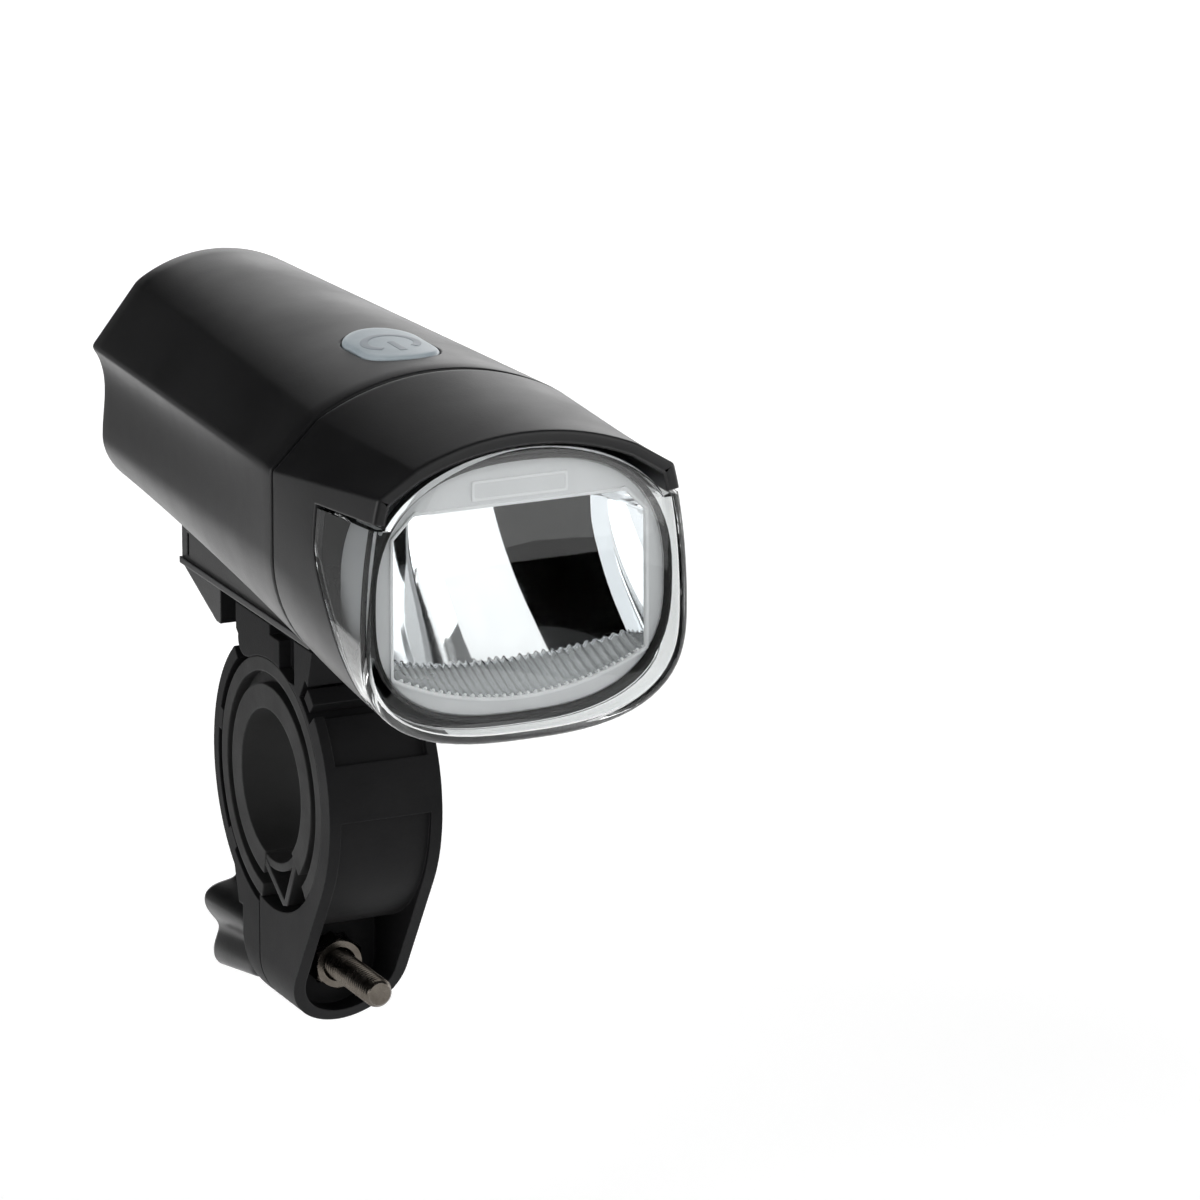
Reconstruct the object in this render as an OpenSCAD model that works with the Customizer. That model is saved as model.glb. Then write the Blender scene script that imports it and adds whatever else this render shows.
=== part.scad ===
// Battery headlight for a bicycle handlebar, on a hinged clamp with a slide-off shoe.
// X runs along the handlebar, -Y is the way the light shines and Z is up.
// The origin is the centre of the handlebar's seat in the clamp. Sizes are in millimetres.

/* [Handlebar clamp] */
// Diameter of the handlebar that the liner grips
bar_d = 25.4; // [24:0.1:26]
// Width of the clamp along the handlebar
clamp_w = 20; // [19:0.5:22]
// Thickness of the rubber liner
liner_t = 8.6; // [8:0.1:9.4]
// Wall of the clamp's front half round the liner
ring_wall = 3.5; // [3.3:0.1:4.4]
// Wall of the hinged rear jaw
jaw_wall = 2.1; // [1.8:0.1:2.6]
// Place of the split between the halves, behind the handlebar's axis
split_y = 5.4; // [5:0.1:6.4]
// Gap at the split between the two ears
split_gap = 0.4; // [0.3:0.1:1]
// Depth of the clamp screw below the handlebar's axis
screw_drop = 31.3; // [30.5:0.1:33]
// Diameter of the hinge pin
pin_d = 2.4; // [2:0.1:2.6]

/* [Clamp screw] */
// Diameter of the screw
bolt_d = 5; // [4.8:0.1:5.2]
// Reach of the screw's end ahead of the handlebar's axis
bolt_reach = 21.7; // [18:0.1:25]
// Width of the nut across its flats
nut_af = 8; // [7.8:0.1:8.4]
// Thickness of the nut
nut_t = 4.7; // [4:0.1:5.2]
// Diameter of the knob over its lobes
knob_d = 21.8; // [20:0.2:24]
// Length of the knob
knob_l = 11.9; // [11:0.1:14]
// Number of lobes on the knob
knob_lobes = 8; // [6:1:10]

/* [Slide mount] */
// Height of the block above the clamp's ring
block_rise = 2.6; // [2.5:0.1:3.4]
// Length of the block behind the handlebar's axis
block_back = 14.5; // [14.2:0.1:16]
// Length of the block ahead of the handlebar's axis
block_ahead = 18; // [17.5:0.1:19]
// Width of the rail under the shoe
rail_w = 10.8; // [10:0.1:11.4]
// Width of the shoe
shoe_w = 19.2; // [18.6:0.2:22]
// Length of the shoe behind the handlebar's axis
shoe_back = 39; // [37:0.5:42]
// Length of the shoe ahead of the handlebar's axis
shoe_ahead = 17; // [16:0.5:24]
// Depth of the hook under the shoe's rear end
hook_drop = 6.3; // [4:0.1:7]
// Play of the rail in its slot
slide_play = 0.25; // [0.2:0.05:0.3]

/* [Battery housing] */
// Distance of the seam between the housings ahead of the handlebar's axis
seam_ahead = 46.2; // [45:0.1:49]
// Length of the battery housing
body_l = 94.7; // [93:0.1:100]
// Wall of the housings
shell_wall = 2.2; // [1.8:0.1:2.6]
// Height of the rear end's underside above the clamp's deck
rear_floor = 8.6; // [8:0.1:10]
// Height of the rear end
rear_h = 42.7; // [42.5:0.1:46]
// Half width of the crown at the rear end
rear_crown = 13.6; // [12.5:0.1:15]
// Half width of the shoulder crease at the rear end
rear_shoulder = 21.9; // [21.6:0.1:24]
// Half width of the belly at the rear end
rear_belly = 20.2; // [20:0.1:22]
// Height of the seam section's underside above the clamp's deck
seam_floor = 1.2; // [0.9:0.1:2]
// Height of the seam section
seam_h = 52; // [51:0.1:55]
// Half width of the crown at the seam
seam_crown = 20.95; // [20:0.1:22]
// Half width of the shoulder crease at the seam
seam_shoulder = 28.65; // [27.5:0.1:30]

/* [Front housing] */
// Length of the front housing from the seam to the visor's edge
front_l = 35.4; // [34.5:0.1:38]
// Height of the front section's underside above the clamp's deck
front_floor = 1.8; // [1.6:0.1:2.4]
// Height of the front section
front_h = 49.9; // [49.5:0.1:52]
// Half width of the crown at the visor's edge
front_crown = 18.9; // [18:0.1:20]
// Half width of the shoulder crease at the visor's edge
front_shoulder = 25; // [24.8:0.1:26.5]
// Half width of the belly at the lens
front_belly = 27.4; // [27.3:0.1:29]
// Thickness of the seal in the seam
seal_t = 0.8; // [0.6:0.1:1.2]

/* [Lens and reflector] */
// Reach of the lens ahead of the visor's edge
lens_reach = 1.4; // [1:0.1:3]
// Wall of the lens
lens_wall = 1.4; // [1.1:0.1:1.5]
// Distance of the side window's rear edge behind the visor's edge
window_back = 19.6; // [17:0.1:21]
// Distance of the lens's lower rear edge behind the visor's edge
lens_back = 6.2; // [5.6:0.1:8]
// Distance of the reflector's face behind the visor's edge
face_back = 3.6; // [3:0.1:4.5]
// Half width of the reflector's opening
mouth_half = 21.6; // [20.5:0.1:22]
// Height of the reflector's opening
mouth_h = 31.3; // [29:0.1:31.6]
// Depth of the reflector
bowl_depth = 23.5; // [21:0.1:24.5]

/* [Button and switch] */
// Width of the button
button_w = 13; // [11:0.1:13.6]
// Length of the button
button_l = 20; // [17:0.1:21]
// Gap between the button and the seam
button_gap = 8.2; // [7.5:0.1:10]
// Travel of the button
button_travel = 0.5; // [0.3:0.05:0.8]
// Height of the push switch over its plunger
switch_h = 4.3; // [3.8:0.1:5]

/* [Cells] */
// Diameter of a cell
cell_d = 14.5; // [14:0.1:14.6]
// Length of a cell with its nub
cell_l = 50.5; // [49:0.1:51]
// Length of a contact spring
spring_l = 4.6; // [4:0.1:5.4]

/* [Hidden] */
$fn = 64;
eps = 0.01;
far = 60;
run = 0.1;
seat = 0.3;

// Clamp: radii, places and angles
bar_r = bar_d / 2;
liner_r = bar_r + liner_t;
bore_r = liner_r + run;
ring_r = bore_r + ring_wall;
jaw_r = ring_r - jaw_wall;
half_w = clamp_w / 2;
bolt_z = -screw_drop;
ear_z = bolt_z - half_w - 0.2;
block_z = ring_r + block_rise;
hinge_angle = 63;
hinge_r = ring_r - 0.5;
hinge_y = hinge_r * cos(hinge_angle);
hinge_z = hinge_r * sin(hinge_angle);
knuckle_r = pin_d / 2 + 1.4;
knuckle_w = clamp_w * 0.53;
base_end_angle = 66;
jaw_end_angle = 52;
front_slope = 32;
rear_slope = 17.3;
pocket_wall = 2;
fold_turn = -15;
pocket_floor = -0.8;
nut_sink = 0.7;
ear_t = 6.7;
knob_face = split_y + split_gap + ear_t + 0.4;
knob_y = knob_face + 0.2;
head_d = bolt_d + 4;
head_t = 3.5;
head_y = knob_y + 5.5;

// Release tongue, a strip that lies in a slot over the ring
tongue_pivot = 104;
tongue_tip = 130;
tongue_r = 1.5;
tongue_path = ring_r - 0.7;
tongue_t = 1.6;
tongue_w = 8;
tongue_room = 0.9;

// Slide: the rail's levels
deck_z = block_z + seat;
rail_t = 0.9;
neck_w = rail_w - 4.4;
slot_z = block_z - 2.2;
rail_z = slot_z + slide_play;
rail_back = block_back - 1;
rail_ahead = block_ahead - 3.5;
screw_d = 2.9;
screw_back = block_back + 3.9;
screw_front = 4.5 - rail_ahead;
screw_head_d = 5;
screw_head_t = 1.6;
lip_t = 1.1;

// Cells and tray
cell_ring = cell_d / sqrt(3) + 0.25;
tray_r = cell_ring + cell_d / 2 + 0.35;
bay_r = tray_r + seat;
tube_r = bay_r + 1.8;
disc_t = 2.5;
plate_t = 0.5;

// Places along the light
rear_y = body_l - seam_ahead;
seam_y = -seam_ahead;
front_y = seam_y - seal_t;
visor_y = front_y - front_l + seal_t;
lens_y = visor_y - lens_reach;
face_y = visor_y + face_back;
bay_end = rear_y - shell_wall - 0.2;
tray_back = bay_end - 0.4;
cell_back = tray_back - disc_t;
cell_front = cell_back - cell_l - spring_l - plate_t;
tray_front = cell_front - disc_t;
bulk_t = 2;
bulk_y = front_y - bulk_t;
spigot_l = 10;

// Levels of the three sections, in the order that profile() reads
rear_z = deck_z + rear_floor;
seam_z = deck_z + seam_floor;
nose_z = deck_z + front_floor;
// [floor, top, crown half, crown rise, shoulder half, shoulder level, tuck, belly half, belly level,
//  fullness]
rear_section = [rear_z, rear_z + rear_h, rear_crown, 4.1, rear_shoulder, rear_z + rear_h - 14.6,
    -11, rear_belly, rear_z + 12.5, 2];
seam_section = [seam_z, seam_z + seam_h, seam_crown, 5.6, seam_shoulder, seam_z + seam_h - 13.2,
    0, seam_shoulder, seam_z + 25, 2.1];
nose_section = [nose_z, nose_z + front_h, front_crown, 4, front_shoulder, nose_z + front_h - 7.9,
    6, front_belly, nose_z + 18.4, 2.75];
crown_n = 8;
flank_n = 10;
belly_n = 12;
window_t = 0.17;
half_n = crown_n + 1 + flank_n + belly_n;
ring_n = 2 * half_n;
top_n = crown_n + 2;

bay_z = rear_z + shell_wall + tube_r;
board_half = 8;
bay_half = board_half + 2.2;
board_t = 1.6;
shelf_t = 1.8;
shelf_half = bay_half - 0.7;
board_gap = 2.1;
bay_back = cell_front + seat;
bay_top = crown_z(body_section(bay_back), bay_half) - shell_wall;
button_y = seam_y + button_gap + button_l / 2;
flange_t = 1.2;
flange_z = bay_top - run - flange_t;
stem_drop = 0.8;
switch_top = flange_z - stem_drop - button_travel - 0.05;
board_z = switch_top - switch_h - board_t;
shelf_z = board_z - shelf_t - 0.05;
boss_x = 6;
boss_z = shelf_z - 2;

// Reflector: levels of its mouth and places of its seats
mouth_z = nose_z + 6.4;
mouth_top = mouth_z + mouth_h;
mouth_mid = (mouth_z + mouth_top) / 2;
mouth_cut = 3.5;
mouth_sag = 5.3;
bowl_y = face_y + bowl_depth;
bowl_wall = 1.5;
focus = 15.8;
floor_slope = 2.7;
roof_slope = 6;
bulge = 0.05;
mirror_levels = [1, 0.94, 0.88, 0.75, 0.6, 0.45, 0.3, 0.22, 0.17, 0.12, 0.07, 0.03, 0];
bezel_t = 1.6;
bezel_n = 72;
bezel_half = front_belly - 2.4;
bezel_mid = nose_z + 23.4;
bezel_top = nose_z + front_h - 5;
bezel_low = nose_z + 3.6;
gasket_w = 0.5;
gasket_l = 1.8;
gasket_back = 0.4;
lens_rim = 1.6;
tuck_l = 9;
tuck_share = 0.35;
arch_drop = 7;
arch_full = 2;
post_x = 20.2;
lug_x = post_x - 7.5;
post_y = bowl_y - 4.5;
lug_t = 2;
lug_h = 6;
lug_level = [mouth_mid - lug_h / 2, mouth_mid + lug_h / 2];
led_y = bowl_y - 0.55 * bowl_depth;
led_pad_z = mouth_top + bowl_wall;
led_board_t = 1.6;
led_board_w = 16;
led_board_l = 12;
led_hole_x = 6;
led_hole_d = 2.2;
small_screw_l = 8;

black = "#1d1d1f";
rubber = "#141414";
steel = "#8d867c";

// Values between two others, plain and eased
function mix(a, b, t) = a + (b - a) * t;
function ease(t) = let (u = max(0, min(1, t))) u * u * (3 - 2 * u);

// Outline of a section: crown arc, flat facet, flank and rounded belly, with x to one side and z up
function crown_radius(s) = (s[2] * s[2] + s[3] * s[3]) / (2 * s[3]);
function crown_z(s, x) = let (r = crown_radius(s)) s[1] - r + sqrt(r * r - x * x);
function flank_step(i) = i < 5 ? [0, window_t, window_t + 0.01, window_t + 0.03, window_t + 0.04][i]
    : mix(window_t + 0.04, 1, (i - 4) / (flank_n - 4));
function flank_x(s, t) = s[4] * (2 * t * t * t - 3 * t * t + 1) + s[6] * (t * t * t - 2 * t * t + t)
    + s[7] * (3 * t * t - 2 * t * t * t);
function half_profile(s) = concat(
    [for (i = [0:crown_n]) let (x = s[2] * i / crown_n) [x, crown_z(s, x)]],
    [for (i = [0:flank_n - 1]) let (t = flank_step(i)) [flank_x(s, t), mix(s[5], s[8], t)]],
    [for (i = [0:belly_n]) let (a = 90 * i / belly_n)
        [s[7] * pow(cos(a), 2 / s[9]), s[8] - (s[8] - s[0]) * pow(sin(a), 2 / s[9])]]);
function profile(s) = let (h = half_profile(s))
    concat(h, [for (i = [len(h) - 2:-1:1]) [-h[i][0], h[i][1]]]);

// The outline moved inwards by d along its own normals
function side(a, b) = [b[1] - a[1], a[0] - b[0]] / norm(b - a);
function inward(p, i) = let (n = len(p), u = side(p[(i + n - 1) % n], p[i]), v = side(p[i], p[(i + 1) % n]))
    (u + v) / (1 + u * v);
function inset(p, d) = [for (i = [0:len(p) - 1]) p[i] + d * inward(p, i)];
function ring(p, y) = [for (q = p) [q[0], y, q[1]]];

// Sections along the battery housing and along the front housing
function body_t(y) = (rear_y - y) / body_l;
function body_floor(y) = mix(rear_z, seam_z, pow(max(0, body_t(y)), 1.5));
function body_section(y) = let (s = mix(rear_section, seam_section, body_t(y)))
    [for (i = [0:9]) i == 0 ? body_floor(y) : s[i]];
function nose_section_at(y) = mix(seam_section, nose_section, (front_y - y) / (front_y - visor_y));
function body_ring(y, d) = ring(inset(profile(body_section(y)), d), y);
function nose_profile(y, d) = inset(profile(nose_section_at(y)), d);

// Points above the side window's top edge belong to the visor
function from_top(j) = min(j, ring_n - j);
function is_top(j) = from_top(j) <= top_n;
function is_tucked(j) = from_top(j) <= top_n + 2;
function parting(z) = visor_y + mix(window_back, lens_back, ease((nose_z + 30.4 - z) / 22));
parting_profile = profile(nose_section_at(mix(front_y, visor_y, 0.6)));
nose_edges = [for (j = [0:ring_n - 1]) is_top(j) ? visor_y : parting(parting_profile[j][1])];

// Solid between rings of points, closed with a cap at each end
module skin(rings) {
    n = len(rings[0]);
    m = len(rings);
    sides = [for (i = [0:m - 2], j = [0:n - 1])
        let (a = i * n + j, b = i * n + (j + 1) % n) each [[a, b, a + n], [b, b + n, a + n]]];
    caps = [[for (j = [n - 1:-1:0]) j], [for (j = [0:n - 1]) (m - 1) * n + j]];
    polyhedron([for (r = rings) each r], concat(sides, caps));
}

// Solid between rings of points whose last ring joins the first
module loop_skin(rings) {
    n = len(rings[0]);
    m = len(rings);
    sides = [for (i = [0:m - 1], j = [0:n - 1])
        let (k = (j + 1) % n, e = (i + 1) % m, a = i * n + j, b = i * n + k, c = e * n + j, d = e * n + k)
        each [[a, b, c], [b, d, c]]];
    polyhedron([for (r = rings) each r], sides);
}

// A side view of (y, z) drawn across the clamp, and a front view of (x, z) drawn forwards from y
module across(w) {
    rotate([90, 0, 90])
        translate([0, 0, -w / 2])
            linear_extrude(w)
                children();
}
module forward(y, l) {
    translate([0, y, 0])
        rotate([90, 0, 0])
            linear_extrude(l)
                children();
}
module rod_y(y, l, r, x = 0, z = 0) {
    translate([x, y, z])
        rotate([90, 0, 0])
            cylinder(h = l, r = r);
}
module rod_x(l, r, y = 0, z = 0, x = 0) {
    translate([x - l / 2, y, z])
        rotate([0, 90, 0])
            cylinder(h = l, r = r);
}
module block(x, y, z) {
    translate([x[0], y[0], z[0]])
        cube([x[1] - x[0], y[1] - y[0], z[1] - z[0]]);
}
module wedge(a, b) {
    c = (a + b) / 2;
    polygon([[0, 0], far * [cos(a), sin(a)], far * [cos(c), sin(c)], far * [cos(b), sin(b)]]);
}
module band(r_in, r_out, a, b) {
    intersection() {
        difference() {
            circle(r_out);
            circle(r_in);
        }
        wedge(a, b);
    }
}
module stadium(w, l) {
    square([w, l - w], center = true);
    for (s = [-1, 1])
        translate([0, s * (l - w) / 2])
            circle(w / 2);
}

// Corners outside an ear's round lower end
module ear_corners() {
    difference() {
        block([-far, far], [-far, far], [-far, bolt_z]);
        rod_y(far + 1, 2 * far + 2, half_w, 0, bolt_z);
    }
}

// The clamp's front half before its cuts: ring, sloping ear, mounting block and hinge lugs
module base_body() {
    tangent = ring_r * [-cos(front_slope), -sin(front_slope)];
    foot_y = tangent[0] + (tangent[1] - ear_z) * tan(front_slope);
    across(clamp_w)
        intersection() {
            circle(ring_r);
            polygon([[-far, -far], [split_y, -far], [split_y, 0], [0, 0],
                2 * far * [cos(base_end_angle), sin(base_end_angle)], [-far, far]]);
        }
    across(clamp_w)
        polygon([tangent, [foot_y, ear_z], [split_y, ear_z], [split_y, 0], [0, 0]]);
    across(clamp_w)
        polygon([[-block_ahead, block_z], [block_back, block_z], [block_back, hinge_z + 1.2],
            [hinge_y + 1.5, hinge_z - 0.4], [hinge_y, hinge_z - knuckle_r], [0, bore_r - 1],
            [2.5 - block_ahead, ring_r * 0.78]]);
    rod_x(clamp_w, knuckle_r, hinge_y, hinge_z);
}

module clamp_base() {
    color(black) difference() {
        base_body();
        rod_x(clamp_w + 1, bore_r);
        ear_corners();
        nut_pocket();
        rail_slot();
        side_notches();
        hinge_slot();
        tongue_slot();
        finger_scoop();
    }
}

// Hollow in the front ear, open to the front, with a hexagonal seat for the nut
module nut_pocket() {
    pocket_r = half_w - pocket_wall;
    difference() {
        union() {
            rod_y(pocket_floor, far, pocket_r, 0, bolt_z);
            block([-pocket_r, pocket_r], [pocket_floor - far, pocket_floor], [bolt_z, 0]);
        }
        rod_x(clamp_w, ring_r - 0.8);
    }
    rod_y(split_y + 1, far, bolt_d / 2 + seat, 0, bolt_z);
    translate([0, pocket_floor + nut_sink, bolt_z])
        rotate([90, 0, 0])
            cylinder(h = far, d = (nut_af + 2 * run) / cos(30), $fn = 6);
}

// T-shaped slot that the shoe's rail slides out of, to the rear
module rail_slot() {
    slot_front = -rail_ahead - 0.4;
    block([-rail_w / 2 - slide_play, rail_w / 2 + slide_play], [slot_front, far],
        [slot_z, slot_z + rail_t + 2 * slide_play]);
    block([-neck_w / 2 - slide_play, neck_w / 2 + slide_play], [slot_front, far], [slot_z, block_z + 1]);
}

module side_notches() {
    for (s = [0, 1])
        mirror([s, 0, 0]) {
            block([half_w - 2.2, far], [-10.5, -4], [ring_r - 5, block_z + 1]);
            block([half_w - 2.2, far], [-10.5, 0], [block_z - 1.8, block_z + 1]);
        }
}

// Room for the jaw's knuckle between the base's two lugs, and the pin's hole, blind on one side
module hinge_slot() {
    room = knuckle_w + 2 * seat;
    across(room) {
        translate([hinge_y, hinge_z])
            circle(knuckle_r + seat);
        polygon([[hinge_y - 0.5, hinge_z - knuckle_r - seat], [hinge_y - 0.5, hinge_z], [far, hinge_z],
            [far, -far], [hinge_y - 0.5, -far]]);
    }
    rod_x(clamp_w - 2, pin_d / 2, hinge_y, hinge_z, 2);
}

// Slot over the ring for the release tongue, with the socket of its pivot
module tongue_slot() {
    room = tongue_w + 2 * seat;
    across(room)
        band(tongue_path - tongue_t / 2 - tongue_room, tongue_path + tongue_t / 2 + 2 * seat,
            tongue_pivot, tongue_tip);
    across(clamp_w + 1)
        band(tongue_path - tongue_t / 2 - tongue_room - 0.1, tongue_path + tongue_t / 2 + 1.6,
            tongue_tip - 6, tongue_tip + 8);
    rod_x(room, tongue_r + run, tongue_path * cos(tongue_pivot), tongue_path * sin(tongue_pivot));
}

// Shallow hollow below the tongue's bar, for a fingertip
module finger_scoop() {
    across(clamp_w - 3.6)
        band(ring_r - 1.2, far, tongue_tip + 7, tongue_tip + 28);
}

// Side view of the hinged rear half: band, sloping ear and two lands that bear on the liner
module jaw_outline() {
    face = split_y + split_gap;
    ear_y = face + ear_t;
    top_z = bolt_z + 13;
    difference() {
        union() {
            intersection() {
                circle(ring_r);
                polygon([[face, -far], [far, -far], [far, 0],
                    far * [cos(jaw_end_angle), sin(jaw_end_angle)], [0, 0], [face, 0]]);
            }
            polygon([[ear_y + (top_z - bolt_z) * tan(rear_slope), top_z],
                [ear_y + (ear_z - bolt_z) * tan(rear_slope), ear_z], [face, ear_z], [face, 0], [0, 0]]);
        }
        circle(jaw_r);
    }
    for (a = [-40, 14])
        band(liner_r + seat, jaw_r + 0.5, a - 5, a + 5);
}

module clamp_jaw() {
    color(black) difference() {
        union() {
            across(clamp_w)
                jaw_outline();
            across(knuckle_w) {
                translate([hinge_y, hinge_z])
                    circle(knuckle_r);
                band(jaw_r, ring_r, jaw_end_angle - 4, hinge_angle);
            }
        }
        ear_corners();
        rod_x(clamp_w, pin_d / 2 + 0.05, hinge_y, hinge_z);
        rod_y(far, 2 * far, bolt_d / 2 + 1.3, 0, bolt_z);
        rod_y(far, far - knob_face, knob_d / 2 + 1, 0, bolt_z);
    }
}

module hinge_pin() {
    color(steel)
        rod_x(clamp_w - 3.2, pin_d / 2, hinge_y, hinge_z, 1.5);
}

// Soft sleeve with a grooved end, open below where two struts fold into a V under a bridge
module rubber_liner() {
    gape = 27;
    fold = [0, 1 - liner_r];
    strut = 1.7;
    color(rubber) rotate([fold_turn, 0, 0]) {
        difference() {
            rod_x(clamp_w, liner_r);
            rod_x(clamp_w + 1, bar_r);
            across(clamp_w + 1)
                wedge(-90 - gape, -90 + gape);
            for (s = [-1, 1])
                difference() {
                    rod_x(4.4, bar_r + 6.2, 0, 0, s * half_w);
                    rod_x(6, bar_r + 4.1, 0, 0, s * half_w);
                }
        }
        for (s = [-1, 1]) {
            top = (bar_r + 1.6) * [s * sin(gape + 4), -cos(gape + 4)];
            across(clamp_w - 0.2)
                polygon([top - [strut / 2, 0], top + [strut / 2, 0],
                    fold + [strut / 2, 0], fold - [strut / 2, 0]]);
        }
        across(clamp_w - 0.4)
            band(bar_r + 0.5, bar_r + 1.9, -90 - gape - 2, -90 + gape + 2);
    }
}

module clamp_bolt() {
    tip = bolt_d / 2;
    color(steel) {
        rod_y(head_y, head_y + bolt_reach - 0.6, tip, 0, bolt_z);
        translate([0, 0.6 - bolt_reach, bolt_z])
            rotate([90, 0, 0])
                cylinder(h = 0.6, r1 = tip, r2 = tip - 0.6);
        rod_y(head_y + head_t, head_t, head_d / 2, 0, bolt_z);
    }
}

module clamp_nut() {
    color(steel) difference() {
        translate([0, pocket_floor + nut_sink, bolt_z])
            rotate([90, 0, 0])
                cylinder(h = nut_t, d = nut_af / cos(30), $fn = 6);
        rod_y(far, 2 * far, bolt_d / 2 + 0.05, 0, bolt_z);
    }
}

// Star knob with fluted sides and a bevel at both ends, on the screw's head
module clamp_knob() {
    r = knob_d / 2;
    flute_r = r * 0.3;
    bevel = 1.2;
    color(black) difference() {
        translate([0, knob_y, bolt_z])
            rotate([-90, 0, 0])
                rotate_extrude()
                    polygon([[0, 0], [r - bevel, 0], [r, bevel], [r, knob_l - bevel],
                        [r - bevel, knob_l], [0, knob_l]]);
        for (i = [0:knob_lobes - 1])
            rotate_knob(i)
                rod_y(far, 2 * far, flute_r, r + flute_r * 0.35, bolt_z);
        rod_y(head_y + 1, far, bolt_d / 2 + 0.05, 0, bolt_z);
        rod_y(head_y + head_t + 0.05, head_t + 0.1, head_d / 2 + 0.05, 0, bolt_z);
    }
}
module rotate_knob(i) {
    translate([0, 0, bolt_z])
        rotate([0, 360 * (i + 0.5) / knob_lobes, 0])
            translate([0, 0, -bolt_z])
                children();
}

// Sprung strip with a round pivot behind and a cross-bar to press in front
module release_tongue() {
    pivot = tongue_path * [cos(tongue_pivot), sin(tongue_pivot)];
    color(black) {
        across(tongue_w) {
            band(tongue_path - tongue_t / 2, tongue_path + tongue_t / 2, tongue_pivot, tongue_tip);
            translate(pivot)
                circle(tongue_r);
        }
        across(clamp_w - 0.4)
            band(tongue_path - tongue_t / 2, tongue_path + tongue_t / 2 + 0.8,
                tongue_tip - 3, tongue_tip + 4);
    }
}

// Shoe under the battery housing: a tapering saddle with a lip, a hook behind and a T-shaped rail below
module slide_shoe() {
    hook_y = screw_back + 3.9;
    color(black) difference() {
        union() {
            difference() {
                union() {
                    block([-shoe_w / 2, shoe_w / 2], [-shoe_ahead, shoe_back], [deck_z, bay_z]);
                    block([-shoe_w / 2 - 0.5, shoe_w / 2 + 0.5], [-shoe_ahead, shoe_back],
                        [deck_z, deck_z + lip_t]);
                }
                skin([for (i = [0:8]) body_ring(mix(rear_y + 1, seam_y - 1, i / 8), -0.1)]);
                block([-far, far], [-far, far], [body_floor(shoe_back) + 6, far * 2]);
            }
            across(shoe_w)
                polygon([[shoe_back, deck_z + 1], [shoe_back, deck_z], [hook_y + 1.7, deck_z - hook_drop],
                    [hook_y, deck_z - hook_drop], [hook_y, deck_z + 1]]);
            block([-neck_w / 2, neck_w / 2], [-rail_ahead, rail_back], [rail_z, deck_z + eps]);
            block([-rail_w / 2, rail_w / 2], [-rail_ahead, rail_back], [rail_z, rail_z + rail_t]);
        }
        for (s = [-1, 1])
            block([s * shoe_w / 2 - 1, s * shoe_w / 2 + 1], [shoe_back - 3.2, shoe_back - 2.2],
                [deck_z + 1.8, deck_z + 5.8]);
        for (y = [screw_back, screw_front])
            translate([0, y, rail_z - 1]) {
                cylinder(h = far, d = screw_d + 2 * run);
                cylinder(h = deck_z - rail_z + screw_head_t + 1.4, d = screw_head_d + 2 * run);
            }
    }
}

module shoe_screws() {
    screw_top = bay_z - tube_r + 0.6;
    color(steel)
        for (y = [screw_back, screw_front])
            translate([0, y, deck_z + 0.35])
                difference() {
                    union() {
                        cylinder(h = screw_top - deck_z - 0.35, d = screw_d);
                        cylinder(h = screw_head_t, d = screw_head_d);
                    }
                    for (a = [0, 90])
                        rotate(a)
                            cube([3, 0.7, 1.4], center = true);
                }
}

// Rear shell: a lofted cup with the round cell bay inside, open to the front
module battery_housing() {
    step = 10;
    outer = concat([body_ring(rear_y, 0.9), body_ring(rear_y - 0.9, 0)],
        [for (i = [1:step]) body_ring(mix(rear_y - 0.9, seam_y, i / step), 0)]);
    inner = [for (i = [0:step]) body_ring(mix(seam_y, bay_end, i / step), shell_wall)];
    color(black) difference() {
        union() {
            skin(concat(outer, inner));
            difference() {
                union() {
                    rod_y(bay_end + 0.5, bay_end + 0.5 - seam_y, tube_r, 0, bay_z);
                    housing_web();
                    for (y = [screw_back, screw_front])
                        translate([0, y, body_floor(y) + 1])
                            cylinder(h = bay_z - body_floor(y) - 1, d = screw_d + 4);
                }
                block([-bay_half, bay_half], [-far, bay_back], [bay_z, far * 2]);
            }
        }
        rod_y(bay_end, far * 2, bay_r, 0, bay_z);
        for (y = [screw_back, screw_front])
            translate([0, y, 0])
                cylinder(h = bay_z - tube_r + 0.9, d = screw_d + run);
        translate([0, button_y, bay_top - 0.5])
            linear_extrude(far)
                stadium(button_w + 2 * run, button_l + 2 * run);
    }
}

// Upright web that ties the cell bay to the belly
module housing_web() {
    n = 8;
    across(2)
        polygon(concat([for (i = [0:n]) let (y = mix(bay_end, seam_y, i / n)) [y, body_floor(y) + 1]],
            [[seam_y, bay_z - tube_r + 1], [bay_end, bay_z - tube_r + 1]]));
}

// Translucent push button with a flange under the crown and a stem over the switch
module power_button() {
    cap_r = crown_radius(body_section(button_y)) + 0.5;
    cap_z = body_section(button_y)[1] + 0.5 - cap_r;
    color("#8f9aa0") {
        intersection() {
            translate([0, button_y, flange_z])
                linear_extrude(far)
                    stadium(button_w, button_l);
            rod_y(button_y + button_l, 2 * button_l, cap_r, 0, cap_z);
        }
        translate([0, button_y, flange_z])
            linear_extrude(flange_t)
                stadium(button_w + 2, button_l + 2);
        translate([0, button_y, flange_z - stem_drop])
            cylinder(h = stem_drop + eps, d = 4);
    }
}

module housing_seal() {
    rim = profile(seam_section);
    color(rubber)
        forward(seam_y - 0.05, seal_t - 0.05)
            difference() {
                polygon(inset(rim, 0.8));
                polygon(inset(rim, shell_wall));
            }
}

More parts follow.
